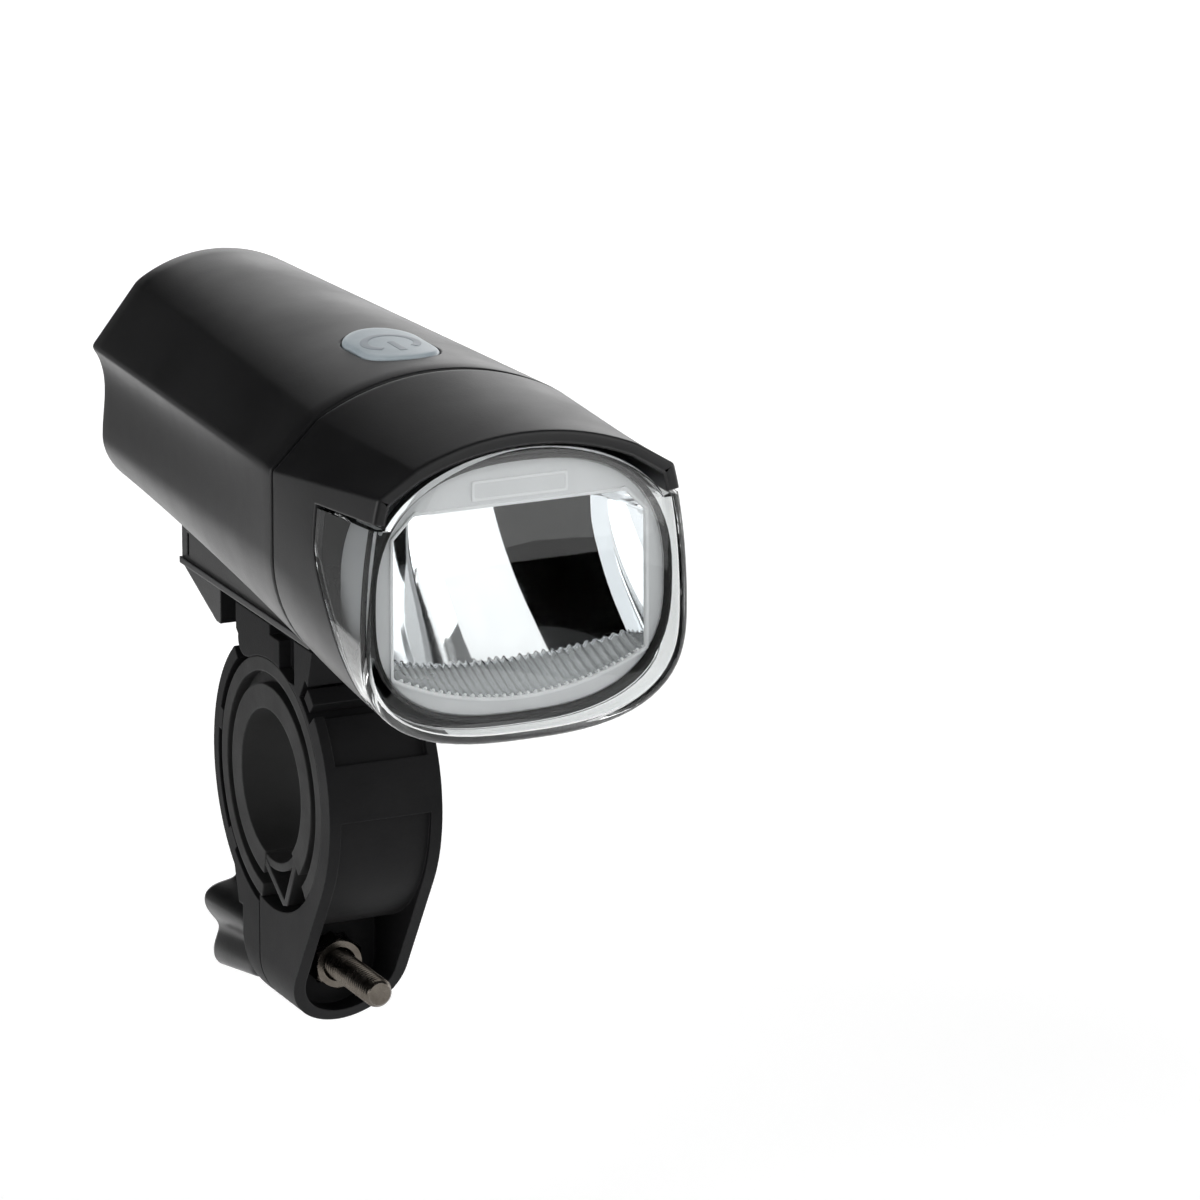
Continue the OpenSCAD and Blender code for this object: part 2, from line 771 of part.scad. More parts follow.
// Front shell with the visor, a bulkhead, the spigot that plugs into the cell bay and two posts
module front_housing() {
    step = 5;
    outer = [for (i = [0:step]) nose_ring(nose_edges, i / step, 0)];
    inner = [for (i = [step:-1:0]) nose_ring(nose_edges, i / step, shell_wall)];
    color(black) difference() {
        union() {
            loop_skin(concat(outer, inner));
            forward(front_y, bulk_t)
                polygon(inset(profile(seam_section), shell_wall / 2));
            rod_y(front_y + spigot_l, spigot_l + eps, bay_r - run, 0, bay_z);
            for (s = [-1, 1])
                rod_y(bulk_y, bulk_y - post_y, 3, s * post_x, mouth_mid);
        }
        rod_y(front_y + far, far, bay_r - 2.1, 0, bay_z);
        block([-bay_half, bay_half], [front_y, far], [bay_z + 5, far * 2]);
        rod_y(far, 2 * far, 5, 0, bay_z);
        for (s = [-1, 1]) {
            rod_y(far, 2 * far, screw_d / 2 + run, s * boss_x, boss_z);
            rod_y(post_y + 8, far, screw_d / 2 + run / 2, s * post_x, mouth_mid);
        }
    }
}

// Ring of the front shell, each point a share t of the way from the seam to its own front edge
function nose_ring(edges, t, d) = [for (j = [0:ring_n - 1])
    let (y = mix(front_y, edges[j], t), p = nose_profile(y, d)[j]) [p[0], y, p[1]]];

// Clear cover: flush with the flanks, tucked under the visor in a smooth arch, with a window in each side
function arch_point(j, y, d) = let (edge = nose_profile(y, shell_wall + seat)[top_n + 2],
        apex = nose_section_at(y)[1] - shell_wall - seat, low = edge[1] - arch_drop,
        wide = edge[0] / pow(1 - pow((edge[1] - low) / (apex - low), arch_full), 1 / arch_full) - d,
        x = (edge[0] - d) * sin(77 * from_top(j) / (top_n + 2)) / sin(77))
    [j < half_n ? x : -x, low + (apex - d - low) * pow(1 - pow(x / wide, arch_full), 1 / arch_full)];
function lens_point(j, y, d) = is_tucked(j) ? arch_point(j, y, d * tuck_share) : nose_profile(y, d)[j];
function lens_rear(j) = is_top(j) ? visor_y + tuck_l : nose_edges[j] - seat;
function lens_ring(t, d, y_end) = [for (j = [0:ring_n - 1])
    let (y = mix(lens_rear(j), y_end, t), p = lens_point(j, y, d)) [p[0], y, p[1]]];
function lens_front(d, y) = [for (j = [0:ring_n - 1]) let (p = lens_point(j, y, d)) [p[0], y, p[1]]];
module lens() {
    pane = lens_y + lens_wall;
    inner = [for (t = [1, 0.8, 0.4, 0]) lens_ring(t, lens_wall, pane)];
    outer = [for (t = [0, 0.3, 0.6, 1]) lens_ring(t, 0, lens_y + lens_rim)];
    rim = [for (a = [30, 60, 90]) lens_front(lens_rim * (1 - cos(a)), lens_y + lens_rim * (1 - sin(a)))];
    color("#dfe9ee", 0.35)
        skin(concat([lens_front(lens_wall + 1.2, pane)], inner, outer, rim));
}

// Outline of the reflector's bezel: two full rounded halves that meet at its widest level
function full_round(a, n) = sign(a) * pow(abs(a), 2 / n);
function bezel_profile(d) = [for (i = [0:bezel_n - 1])
    let (a = 360 * i / bezel_n, up = cos(a) > 0, n = up ? 2.5 : 2.7)
    [(bezel_half + d) * full_round(sin(a), n),
        bezel_mid + ((up ? bezel_top - bezel_mid : bezel_mid - bezel_low) + d) * full_round(cos(a), n)]];
module lens_gasket() {
    color(rubber)
        forward(face_y + gasket_back, gasket_l)
            difference() {
                polygon(bezel_profile(run + gasket_w));
                polygon(bezel_profile(run));
            }
}

// Mouth of the reflector: flat top with cut corners, upright sides and a bowed lower edge
bow_r = (mouth_half * mouth_half + mouth_sag * mouth_sag) / (2 * mouth_sag);
function mouth_floor(x) = mouth_z + bow_r - sqrt(bow_r * bow_r - x * x);
function mouth_roof(x) = mouth_top - max(0, abs(x) - mouth_half + mouth_cut);
function bow_w(z) = sqrt(max(0, bow_r * bow_r - pow(mouth_z + bow_r - z, 2)));
function mouth_w(z) = z < mouth_z + mouth_sag ? bow_w(z) : mouth_half - max(0, z - mouth_top + mouth_cut);

// Depth of the mirror behind its mouth: a paraboloid about the top, over a sloping floor and under a roof
function mirror_depth(x, z) = max(0, min(bowl_depth - 2 - (x * x + pow(mouth_top - z, 2)) / (4 * focus),
    floor_slope * (z - mouth_floor(x)), roof_slope * (mouth_roof(x) - z)));
function mirror_ring(f, grow, front) = let (z = mix(mouth_z + 0.1, mouth_top, f), w = mouth_w(z) - 0.01,
        level = grow > 0 ? mix(mouth_z - grow, mouth_top + grow, f) : z, wide = (w + grow) / w)
    concat([[-w * wide, front, level], [w * wide, front, level]],
        [for (i = [0:16]) let (x = mix(w, -w, i / 16), y = face_y + grow + mirror_depth(x, z))
            [x * wide, y + bulge * (1 - pow(x / w, 2)), level]]);
module mirror_solid(grow, front) {
    skin([for (f = mirror_levels) mirror_ring(f, grow, front)]);
}

// Mirror bowl with its flat bezel, two ribbed lugs and the pad that carries the light source
module reflector() {
    color("#c9ccce") difference() {
        union() {
            mirror_solid(bowl_wall, face_y + 0.5);
            forward(face_y + bezel_t, bezel_t)
                polygon(bezel_profile(0));
            block([-led_board_w / 2, led_board_w / 2], [led_y - led_board_l / 2, led_y + led_board_l / 2],
                [mouth_mid, led_pad_z]);
            for (s = [0, 1])
                mirror([s, 0, 0]) {
                    block([lug_x, post_x + 3.5], [post_y - lug_t, post_y], lug_level);
                    block([lug_x, lug_x + 4], [face_y + 4, post_y], lug_level);
                }
        }
        mirror_solid(0, face_y - 1);
        block([-4, 4], [led_y - 4, led_y + 4], [mouth_mid, far * 2]);
        for (s = [-1, 1])
            rod_y(0, 2 * far, screw_d / 2 + run, s * post_x, mouth_mid);
    }
}

module pan_screw(l) {
    difference() {
        union() {
            rod_y(0, screw_head_t, screw_head_d / 2);
            rod_y(l, l + eps, screw_d / 2);
        }
        for (a = [0, 90])
            rotate([0, a, 0])
                block([-1.5, 1.5], [-far, 0.7 - screw_head_t], [-0.35, 0.35]);
    }
}
module reflector_screws() {
    color(steel)
        for (s = [-1, 1])
            translate([s * post_x, post_y - lug_t, mouth_mid])
                pan_screw(small_screw_l);
}

module led_board() {
    color("#e8e8e4") difference() {
        block([-led_board_w / 2, led_board_w / 2], [led_y - led_board_l / 2, led_y + led_board_l / 2],
            [led_pad_z, led_pad_z + led_board_t]);
        for (s = [-1, 1])
            translate([s * led_hole_x, led_y, led_pad_z - 1])
                cylinder(h = led_board_t + 2, d = led_hole_d);
    }
}
module led_emitter() {
    color("#f0d060") {
        block([-1.75, 1.75], [led_y - 1.75, led_y + 1.75], [led_pad_z - 0.8, led_pad_z]);
        difference() {
            translate([0, led_y, led_pad_z - 0.8])
                sphere(1.4);
            block([-2, 2], [led_y - 2, led_y + 2], [led_pad_z - 0.4, led_pad_z + 2]);
        }
    }
}

module switch_board() {
    color("#2f6b45")
        block([-board_half, board_half], [button_y - button_l / 2 - 1, tray_front - board_gap],
            [board_z, board_z + board_t]);
}
module push_switch() {
    top = board_z + board_t;
    body_h = switch_h - 0.9;
    color("#2a2a2c") {
        block([-3, 3], [button_y - 3, button_y + 3], [top, top + body_h]);
        translate([0, button_y, top])
            cylinder(h = switch_h, d = 3.4);
    }
}
module status_led() {
    top = board_z + board_t;
    color("#9ad0ff")
        block([-0.8, 0.8], [button_y - 8.2, button_y - 5], [top, top + 1.1]);
}

// Cell places round the tray, the middle one turned end for end
module at_cell(i) {
    middle = (cell_back + cell_front) / 2;
    translate([0, middle, bay_z])
        rotate([0, 120 * i + 60, 0])
            translate([0, 0, cell_ring])
                mirror([0, i == 1 ? 1 : 0, 0])
                    translate([0, -middle, 0])
                        children();
}

// Carrier for the cells: two discs, three rails and the shelf that carries the switch board
module battery_tray() {
    color("#242426") {
        difference() {
            union() {
                rod_y(tray_back, disc_t, tray_r, 0, bay_z);
                rod_y(cell_front, disc_t, tray_r, 0, bay_z);
                for (i = [0:2])
                    translate([0, 0, bay_z])
                        rotate([0, 120 * i, 0])
                            intersection() {
                                rod_y(tray_back - 0.5, tray_back - tray_front - 1, tray_r - run);
                                block([-2.4, 2.4], [tray_front, tray_back], [tray_r - 3.6, tray_r]);
                            }
                block([-shelf_half, shelf_half], [front_y, cell_front - 0.4],
                    [shelf_z, shelf_z + shelf_t]);
                block([-shelf_half, shelf_half], [tray_front + 0.4, cell_front - 0.4],
                    [bay_z, shelf_z + shelf_t]);
                for (s = [-1, 1])
                    rod_y(front_y + 8, 8, 2.6, s * boss_x, boss_z);
            }
            for (s = [-1, 1])
                rod_y(front_y + 7, 8, screw_d / 2 + run / 2, s * boss_x, boss_z);
        }
    }
}
module tray_screws() {
    color(steel)
        for (s = [-1, 1])
            translate([s * boss_x, bulk_y, boss_z])
                pan_screw(small_screw_l);
}
module battery_cells() {
    nub = 1;
    color("#b08d57")
        for (i = [0:2])
            at_cell(i) {
                rod_y(cell_back - spring_l, cell_l - nub, cell_d / 2);
                rod_y(cell_back - spring_l - cell_l + nub + eps, nub, 2.7);
            }
}
module contact_springs() {
    turns = 3;
    steps = 10;
    wire = 0.7;
    coil_r = 3.2;
    rise = spring_l - wire - 0.2;
    color(steel)
        for (i = [0:2])
            at_cell(i)
                translate([0, cell_back - wire / 2 - 0.1, 0])
                    skin([for (k = [0:turns * steps])
                        let (a = 360 * k / steps, c = [cos(a), 0, sin(a)], y = -rise * k / (turns * steps))
                        [for (q = [0:5]) coil_r * c + [0, y, 0]
                            + wire / 2 * (cos(60 * q) * c + [0, sin(60 * q), 0])]]);
}
module contact_plates() {
    color("#c9c4b5")
        for (i = [0:2])
            at_cell(i)
                rod_y(cell_front + plate_t, plate_t, 4.5);
}

clamp_base();
clamp_jaw();
hinge_pin();
rubber_liner();
clamp_bolt();
clamp_nut();
clamp_knob();
release_tongue();
slide_shoe();
shoe_screws();
battery_housing();
power_button();
housing_seal();
front_housing();
lens();
lens_gasket();
reflector();
reflector_screws();
led_board();
led_emitter();
switch_board();
push_switch();
status_led();
battery_tray();
tray_screws();
battery_cells();
contact_springs();
contact_plates();
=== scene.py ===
import math
import bpy
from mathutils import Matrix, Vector


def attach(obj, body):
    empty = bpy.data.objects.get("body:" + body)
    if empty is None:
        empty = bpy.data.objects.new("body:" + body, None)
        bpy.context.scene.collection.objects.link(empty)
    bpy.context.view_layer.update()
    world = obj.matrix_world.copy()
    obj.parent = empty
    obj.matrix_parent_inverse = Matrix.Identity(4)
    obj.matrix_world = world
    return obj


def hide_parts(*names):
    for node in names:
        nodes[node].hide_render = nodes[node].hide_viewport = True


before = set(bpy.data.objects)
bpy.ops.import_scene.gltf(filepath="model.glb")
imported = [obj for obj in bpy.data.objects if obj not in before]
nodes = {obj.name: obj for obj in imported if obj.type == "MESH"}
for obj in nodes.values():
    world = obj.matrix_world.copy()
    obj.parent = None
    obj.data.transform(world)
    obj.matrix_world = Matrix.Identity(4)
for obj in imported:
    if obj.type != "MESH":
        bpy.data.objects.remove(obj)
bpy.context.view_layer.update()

mm = 0.001


# ---- Clamp halves ----
# The front half with its mounting block and the hinged rear jaw are black glass-filled nylon mouldings. Their tools
# are spark-eroded, so the skin has a fine matt grain and the edges are rubbed a little paler.

def shader_group(name, inputs, outputs):
    group = bpy.data.node_groups.new(name, "ShaderNodeTree")
    for label, value in inputs:
        group.interface.new_socket(label, in_out="INPUT", socket_type="NodeSocketFloat").default_value = value
    for label, kind in outputs:
        group.interface.new_socket(label, in_out="OUTPUT", socket_type=kind)
    return group, group.nodes.new("NodeGroupInput"), group.nodes.new("NodeGroupOutput")


def math_node(tree, operation, first, second):
    made = tree.nodes.new("ShaderNodeMath")
    made.operation = operation
    for place, value in enumerate((first, second)):
        if isinstance(value, (int, float)):
            made.inputs[place].default_value = value
        else:
            tree.links.new(value, made.inputs[place])
    return made.outputs["Value"]


def spread(tree, source, low, high, start=0.3, end=0.7):
    made = tree.nodes.new("ShaderNodeMapRange")
    for label, value in (("From Min", start), ("From Max", end), ("To Min", low), ("To Max", high)):
        made.inputs[label].default_value = value
    tree.links.new(source, made.inputs["Value"])
    return made.outputs["Result"]


def ramp(tree, source, stops):
    made = tree.nodes.new("ShaderNodeValToRGB")
    for k, (place, tone) in enumerate(stops):
        stop = made.color_ramp.elements[k] if k < 2 else made.color_ramp.elements.new(place)
        stop.position = place
        stop.color = (*tone, 1)
    tree.links.new(source, made.inputs["Fac"])
    return made.outputs["Color"]


moulded_grain, grain_in, grain_out = shader_group(
    "moulded_grain", [("Fineness", 2600.0), ("Patch", 70.0)],
    [("Height", "NodeSocketFloat"), ("Tone", "NodeSocketFloat")])
grain_place = moulded_grain.nodes.new("ShaderNodeTexCoord")
for socket_in, socket_out, detail in (("Fineness", "Height", 3.0), ("Patch", "Tone", 4.0)):
    noise = moulded_grain.nodes.new("ShaderNodeTexNoise")
    noise.inputs["Detail"].default_value = detail
    noise.inputs["Roughness"].default_value = 0.6
    moulded_grain.links.new(grain_place.outputs["Object"], noise.inputs["Vector"])
    moulded_grain.links.new(grain_in.outputs[socket_in], noise.inputs["Scale"])
    moulded_grain.links.new(noise.outputs["Fac"], grain_out.inputs[socket_out])

soft_edges, edges_in, edges_out = shader_group(
    "soft_edges", [("Radius", 0.0004)], [("Normal", "NodeSocketVector"), ("Mask", "NodeSocketFloat")])
rounded = soft_edges.nodes.new("ShaderNodeBevel")
rounded.samples = 6
facing = soft_edges.nodes.new("ShaderNodeNewGeometry")
agree = soft_edges.nodes.new("ShaderNodeVectorMath")
agree.operation = "DOT_PRODUCT"
soft_edges.links.new(edges_in.outputs["Radius"], rounded.inputs["Radius"])
soft_edges.links.new(rounded.outputs["Normal"], agree.inputs[0])
soft_edges.links.new(facing.outputs["Normal"], agree.inputs[1])
soft_edges.links.new(rounded.outputs["Normal"], edges_out.inputs["Normal"])
soft_edges.links.new(spread(soft_edges, agree.outputs["Value"], 1, 0, 0.9, 0.995), edges_out.inputs["Mask"])


def add_group(tree, group, **values):
    made = tree.nodes.new("ShaderNodeGroup")
    made.node_tree = group
    for label, value in values.items():
        made.inputs[label].default_value = value
    return made


def new_finish(name):
    finish = bpy.data.materials.new(name)
    finish.use_nodes = True
    return finish, finish.node_tree, finish.node_tree.nodes["Principled BSDF"]


def tune(shader, *settings):
    for label, value in settings:
        shader.inputs[label].default_value = value


def grained(name, dark, pale, smooth, rough, fineness, depth, edge=0.35, edge_tone=None, metal=0.0, patch=70.0):
    finish, tree, shader = new_finish(name)
    skin = add_group(tree, moulded_grain, Fineness=fineness, Patch=patch)
    edges = add_group(tree, soft_edges, Radius=edge * mm)
    colour = ramp(tree, skin.outputs["Tone"], [(0.3, dark), (0.7, pale)])
    if edge_tone:
        # A colour mix has its factor at input 0, its two colours at 6 and 7 and its result at output 2.
        edge_mix = tree.nodes.new("ShaderNodeMix")
        edge_mix.data_type = "RGBA"
        edge_mix.inputs[7].default_value = (*edge_tone, 1)
        patchy = spread(tree, skin.outputs["Height"], 0.1, 0.9)
        tree.links.new(math_node(tree, "MULTIPLY", edges.outputs["Mask"], patchy), edge_mix.inputs[0])
        tree.links.new(colour, edge_mix.inputs[6])
        colour = edge_mix.outputs[2]
    bump = tree.nodes.new("ShaderNodeBump")
    tune(bump, ("Strength", 0.6), ("Distance", depth * mm))
    tree.links.new(skin.outputs["Height"], bump.inputs["Height"])
    tree.links.new(edges.outputs["Normal"], bump.inputs["Normal"])
    tree.links.new(bump.outputs["Normal"], shader.inputs["Normal"])
    tree.links.new(colour, shader.inputs["Base Color"])
    tree.links.new(spread(tree, skin.outputs["Tone"], smooth, rough), shader.inputs["Roughness"])
    tune(shader, ("Metallic", metal))
    return finish


def dress(finish, *names):
    for name in names:
        for place in nodes[name].material_slots:
            place.material = finish


black_nylon = grained("black_nylon", (0.006, 0.006, 0.0065), (0.010, 0.010, 0.0105), 0.50, 0.60, 2600, 0.05,
                      edge_tone=(0.022, 0.022, 0.023))
tune(black_nylon.node_tree.nodes["Principled BSDF"], ("Specular IOR Level", 0.1))
dress(black_nylon, "clamp_base", "clamp_jaw")


# ---- Hinge pin, screws of the shoe, tray and reflector ----
# A drawn steel pin for the jaw and self-tapping screws for the inner mouldings, with a dark nickel plating. The pin is
# pressed into the front half and the screws are driven into moulded posts.

dark_nickel = grained("dark_nickel", (0.085, 0.074, 0.062), (0.15, 0.134, 0.116), 0.20, 0.30, 5200, 0.006, edge=0.05,
                      edge_tone=(0.50, 0.48, 0.45), metal=1.0, patch=420)
dress(dark_nickel, "hinge_pin", "shoe_screws", "tray_screws", "reflector_screws")


# ---- Liner ----
# A soft sleeve of black rubber that lines the clamp, moulded with a groove in each end and folded into a V below so
# that it can open. It is laid in loose and has a dull, slightly dusty skin.

soft_rubber = grained("soft_rubber", (0.006, 0.006, 0.006), (0.013, 0.013, 0.013), 0.60, 0.80, 1500, 0.06, edge=0.45,
                      edge_tone=(0.022, 0.022, 0.022), patch=110)
dress(soft_rubber, "rubber_liner")


# ---- Clamp screw ----
# An M5 steel screw, dark nickel plated, with a rolled thread and a disc head that is moulded into the knob. It passes
# through both ears of the clamp into the nut.

def lofted(name, rings, loop=False):
    rows, columns = len(rings) + loop, len(rings[0])
    bpy.ops.object.select_all(action="DESELECT")
    bpy.ops.mesh.primitive_grid_add(x_subdivisions=columns, y_subdivisions=rows - 1)
    piece = bpy.context.object
    piece.name = name
    for vertex in piece.data.vertices:
        row, column = divmod(vertex.index, columns + 1)
        vertex.co = Vector(rings[row % len(rings)][column % columns]) * mm
    bpy.ops.object.mode_set(mode="EDIT")
    bpy.ops.mesh.select_all(action="SELECT")
    bpy.ops.mesh.remove_doubles(threshold=1e-7)
    if not loop:
        bpy.ops.mesh.fill_holes(sides=0)
        bpy.ops.mesh.select_all(action="SELECT")
    bpy.ops.mesh.normals_make_consistent(inside=False)
    bpy.ops.object.mode_set(mode="OBJECT")
    return piece


def pick(piece):
    bpy.ops.object.select_all(action="DESELECT")
    piece.select_set(True)
    bpy.context.view_layer.objects.active = piece


def fit(piece, finish, body, slot, *stands_for, smooth=35):
    pick(piece)
    bpy.ops.object.shade_smooth_by_angle(angle=math.radians(smooth))
    piece.data.materials.clear()
    piece.data.materials.append(finish)
    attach(piece, body)
    if stands_for:
        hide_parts(*stands_for)
    return piece


bolt_z, bolt_end, bolt_head, bolt_back = -31.3, -21.7, 18.6, 22.1
shank_start, shank_mid, shank_r, head_r, head_bevel = -1.9, 6, 2.48, 4.5, 0.3
pitch, crest, root, flank_slope, root_flat = 0.8, 2.5, 2.05, 2.6, 0.15
tip_r, tip_l, thread_step, thread_steps, screw_count = 1.9, 0.7, 0.08, 240, 40


def bolt_point(radius, a, y):
    return (radius * math.sin(a), y, bolt_z + radius * math.cos(a))


def turned_ring(y, radius, count=screw_count):
    return [bolt_point(radius, math.tau * k / count, y) for k in range(count)]


def thread_ring(y):
    ring = []
    for k in range(screw_count):
        phase = (y / pitch - k / screw_count) % 1
        height = min(1, max(0, abs(phase - 0.5) * flank_slope - root_flat))
        taper = min(1, max(0, (y - bolt_end) / tip_l))
        radius = min(root + (crest - root) * height, tip_r + (crest - tip_r) * taper)
        ring.append(bolt_point(radius, math.tau * k / screw_count, y))
    return ring


screw_rings = [thread_ring(bolt_end + thread_step * k) for k in range(thread_steps)]
screw_rings += [turned_ring(y, shank_r) for y in (shank_start, shank_mid, bolt_head)]
screw_rings += [turned_ring(y, radius) for y, radius in (
    (bolt_head, head_r - head_bevel), (bolt_head + head_bevel, head_r),
    (bolt_back - head_bevel, head_r), (bolt_back, head_r - head_bevel))]
fit(lofted("screw_m5", screw_rings), dark_nickel, "bolt", "dark_steel", "clamp_bolt", smooth=45)


# ---- Nut ----
# A plain M5 hexagon nut of the same plated steel, chamfered on both faces. It lies loose in the hexagonal seat of the
# front ear, which keeps it from turning.

nut_back, nut_front, nut_half, nut_count = -0.1, -4.8, 4.0, 72
nut_cones = ((0, 4.0), (0.2, 4.3), (0.45, 4.7))
nut_bore, nut_mouth, nut_bevel = 2.55, 2.95, 0.4


def nut_ring(y, cone):
    ring = []
    for k in range(nut_count):
        a = math.tau * k / nut_count
        flat = nut_half / math.cos((a + math.pi / 6) % (math.pi / 3) - math.pi / 6)
        ring.append(bolt_point(min(flat, cone), a + math.pi / 6, y))
    return ring


nut_rings = [nut_ring(nut_back - along, cone) for along, cone in nut_cones]
nut_rings += [nut_ring(nut_front + along, cone) for along, cone in reversed(nut_cones)]
nut_rings += [turned_ring(y, radius, nut_count) for y, radius in (
    (nut_front, nut_mouth), (nut_front + nut_bevel, nut_bore), (nut_back - nut_bevel, nut_bore), (nut_back, nut_mouth))]
fit(lofted("nut_m5", nut_rings, loop=True), dark_nickel, "clamp", "dark_steel", "clamp_nut", smooth=25)


# ---- Knob and release tongue ----
# The knob is black ABS with six broad lobes that narrow towards the clamp, moulded over the screw's head. The tongue is
# the same nylon as the clamp and is pressed in a slot over the ring.

knob_front, knob_back, knob_widest, knob_count = 13.1, 28.0, 26.0, 144
lobe_count, lobe_turn, lobe_mid, lobe_swing, lobe_taper = 6, math.radians(-69.5), 10.6, 1.5, 0.16
recess_r, shank_way, head_way, head_gap, back_round, front_round = 5.4, 2.6, 4.6, 0.1, 2.0, 1.0


def lobed_ring(y, inset):
    ring = []
    for k in range(knob_count):
        a = math.tau * k / knob_count
        radius = lobe_mid + lobe_swing * math.cos(lobe_count * (a - lobe_turn)) - inset
        radius -= lobe_taper * max(0, knob_widest - y)
        ring.append(bolt_point(radius, a, y))
    return ring


def quarter(radius, steps=4):
    return [(radius * (1 - math.sin(math.pi / 2 * k / steps)), radius * (1 - math.cos(math.pi / 2 * k / steps)))
            for k in range(steps + 1)]


knob_rings = [turned_ring(knob_back - drop, recess_r + grow, knob_count)
              for drop, grow in ((0.6, 0), (0.1, 0.5), (0, 0.9))]
knob_rings += [lobed_ring(knob_back - along, inset) for inset, along in quarter(back_round, 6)]
knob_rings += [lobed_ring(y, 0) for y in (22.0, 18.0, 15.0)]
knob_rings += [lobed_ring(knob_front + along, inset) for along, inset in quarter(front_round)]
knob_rings += [turned_ring(y, radius, knob_count) for y, radius in (
    (knob_front, shank_way), (bolt_head - head_gap, shank_way),
    (bolt_head - head_gap, head_way), (bolt_back + head_gap, head_way))]
# The edges and creases of the black ABS parts are drawn much paler than the skin, 0.060 against 0.005 to 0.008. This
# puts a pale line along every edge and crease of the shells, the shoe and the knob.
black_abs = grained("black_abs", (0.005, 0.005, 0.0055), (0.008, 0.008, 0.0085), 0.34, 0.42, 3000, 0.04, edge=0.4,
                    edge_tone=(0.060, 0.060, 0.062), patch=60)
fit(lofted("knob", knob_rings), black_abs, "knob", "black_plastic", "clamp_knob", smooth=40)
dress(black_nylon, "release_tongue")


# ---- Slide shoe ----
# A saddle of black ABS under the battery housing, with a hook behind and a T-shaped rail below that slides into the
# clamp's block. Two screws from below hold it.

dress(black_abs, "slide_shoe")


# ---- Battery housing ----
# The rear shell is moulded in black ABS with a crowned top, a facet along each shoulder and a rounded belly. It grows
# from the flat rear end to the seam. The round bay for the cells is moulded inside it.

rear_y, seam_y, front_y, visor_y = 48.5, -46.2, -47.0, -81.6
wall, end_round, seam_round, edge_reach, crown_stop, floor_bend = 2.2, 1.2, 0.5, 0.8, 1.1, 1.5
cup_end, bay_end = 46.1, 46.3
# Floor, top, crown half and rise, shoulder half and height, tuck of the flank, belly half and height, fullness below.
rear_section = (36.4, 79.1, 13.6, 4.1, 21.9, 64.5, -11.0, 20.2, 48.9, 2.0)
seam_section = (29.0, 81.0, 20.95, 5.6, 28.65, 67.8, 0.0, 28.65, 54.0, 2.1)
nose_section = (29.3, 79.5, 18.9, 4.0, 25.2, 71.6, 6.0, 27.9, 48.0, 2.75)


def mix(a, b, t):
    return a + (b - a) * t


def ease(t):
    t = min(1, max(0, t))
    return t * t * (3 - 2 * t)


def shares(count, start=0):
    return [k / count for k in range(start, count + 1)]


def crown_height(section, x):
    top, half, rise = section[1:4]
    radius = (half * half + rise * rise) / (2 * rise)
    return top - radius + math.sqrt(radius * radius - x * x)


def rounded_corner(a, b, c, reach):
    if reach == 0:
        return [b]
    p, q = b + (a - b).normalized() * reach, b + (c - b).normalized() * reach
    return [p * (1 - t) ** 2 + b * (2 * t * (1 - t)) + q * (t * t) for t in (0, 0.2, 0.4, 0.6, 0.8, 1)]


def half_outline(section, reach):
    floor, top, crown, rise, wide, wide_z, tuck, belly, belly_z, full = section

    def flank(t):
        x = wide * (2 * t ** 3 - 3 * t * t + 1) + tuck * (t ** 3 - 2 * t * t + t) + belly * (3 * t * t - 2 * t ** 3)
        return Vector((x, mix(wide_z, belly_z, t)))

    arc = [Vector((x, crown_height(section, x))) for x in ((crown - crown_stop) * t for t in shares(16))]
    edge, shoulder = Vector((crown, crown_height(section, crown))), Vector((wide, wide_z))
    points = arc + rounded_corner(arc[-1], edge, shoulder, reach)
    points += [edge.lerp(shoulder, t) for t in (0.2, 0.4, 0.6, 0.8)]
    points += rounded_corner(edge, shoulder, flank(0.1), reach)
    points += [flank(t) for t in (0.1, 0.14, 0.17)]
    top_count = len(points)
    points += [flank(t) for t in (0.18, 0.2, 0.21, 0.26, 0.32, 0.38, 0.45, 0.52, 0.59, 0.66, 0.73, 0.8, 0.86, 0.92)]
    for t in shares(24):
        a = ease(t) * math.pi / 2
        points.append(Vector((belly * max(0, math.cos(a)) ** (2 / full),
                              belly_z - (belly_z - floor) * math.sin(a) ** (2 / full))))
    points[-1].x = 0
    return points, top_count


def outline(section, inset=0.0, reach=edge_reach):
    half = half_outline(section, reach)[0]
    points = half + [Vector((-p.x, p.y)) for p in half[-2:0:-1]]
    if inset == 0:
        return points
    moved = []
    for k, p in enumerate(points):
        before, after = p - points[k - 1], points[(k + 1) % len(points)] - p
        u = Vector((before.y, -before.x)).normalized()
        v = Vector((after.y, -after.x)).normalized()
        moved.append(p + (u + v) * (inset / (1 + u.dot(v))))
    return moved


half_points, top_count = half_outline(seam_section, edge_reach)
half_count = len(half_points)


def body_section(y):
    t = (rear_y - y) / (rear_y - seam_y)
    section = [mix(a, b, t) for a, b in zip(rear_section, seam_section)]
    section[0] = mix(rear_section[0], seam_section[0], max(0, t) ** floor_bend)
    return section


def body_ring(y, inset=0.0):
    return [(p.x, y, p.y) for p in outline(body_section(y), inset)]


shell_rings = [body_ring(rear_y - along, inset) for inset, along in quarter(end_round)]
shell_rings += [body_ring(mix(rear_y - end_round, seam_y + seam_round, t)) for t in shares(26, 1)]
shell_rings += [body_ring(seam_y + along, inset) for along, inset in quarter(seam_round)[1:]]
shell_rings += [body_ring(seam_y, wall - 0.3)]
shell_rings += [body_ring(mix(seam_y + 0.3, cup_end, t), wall) for t in shares(12)]
rear_shell = lofted("rear_shell", shell_rings)


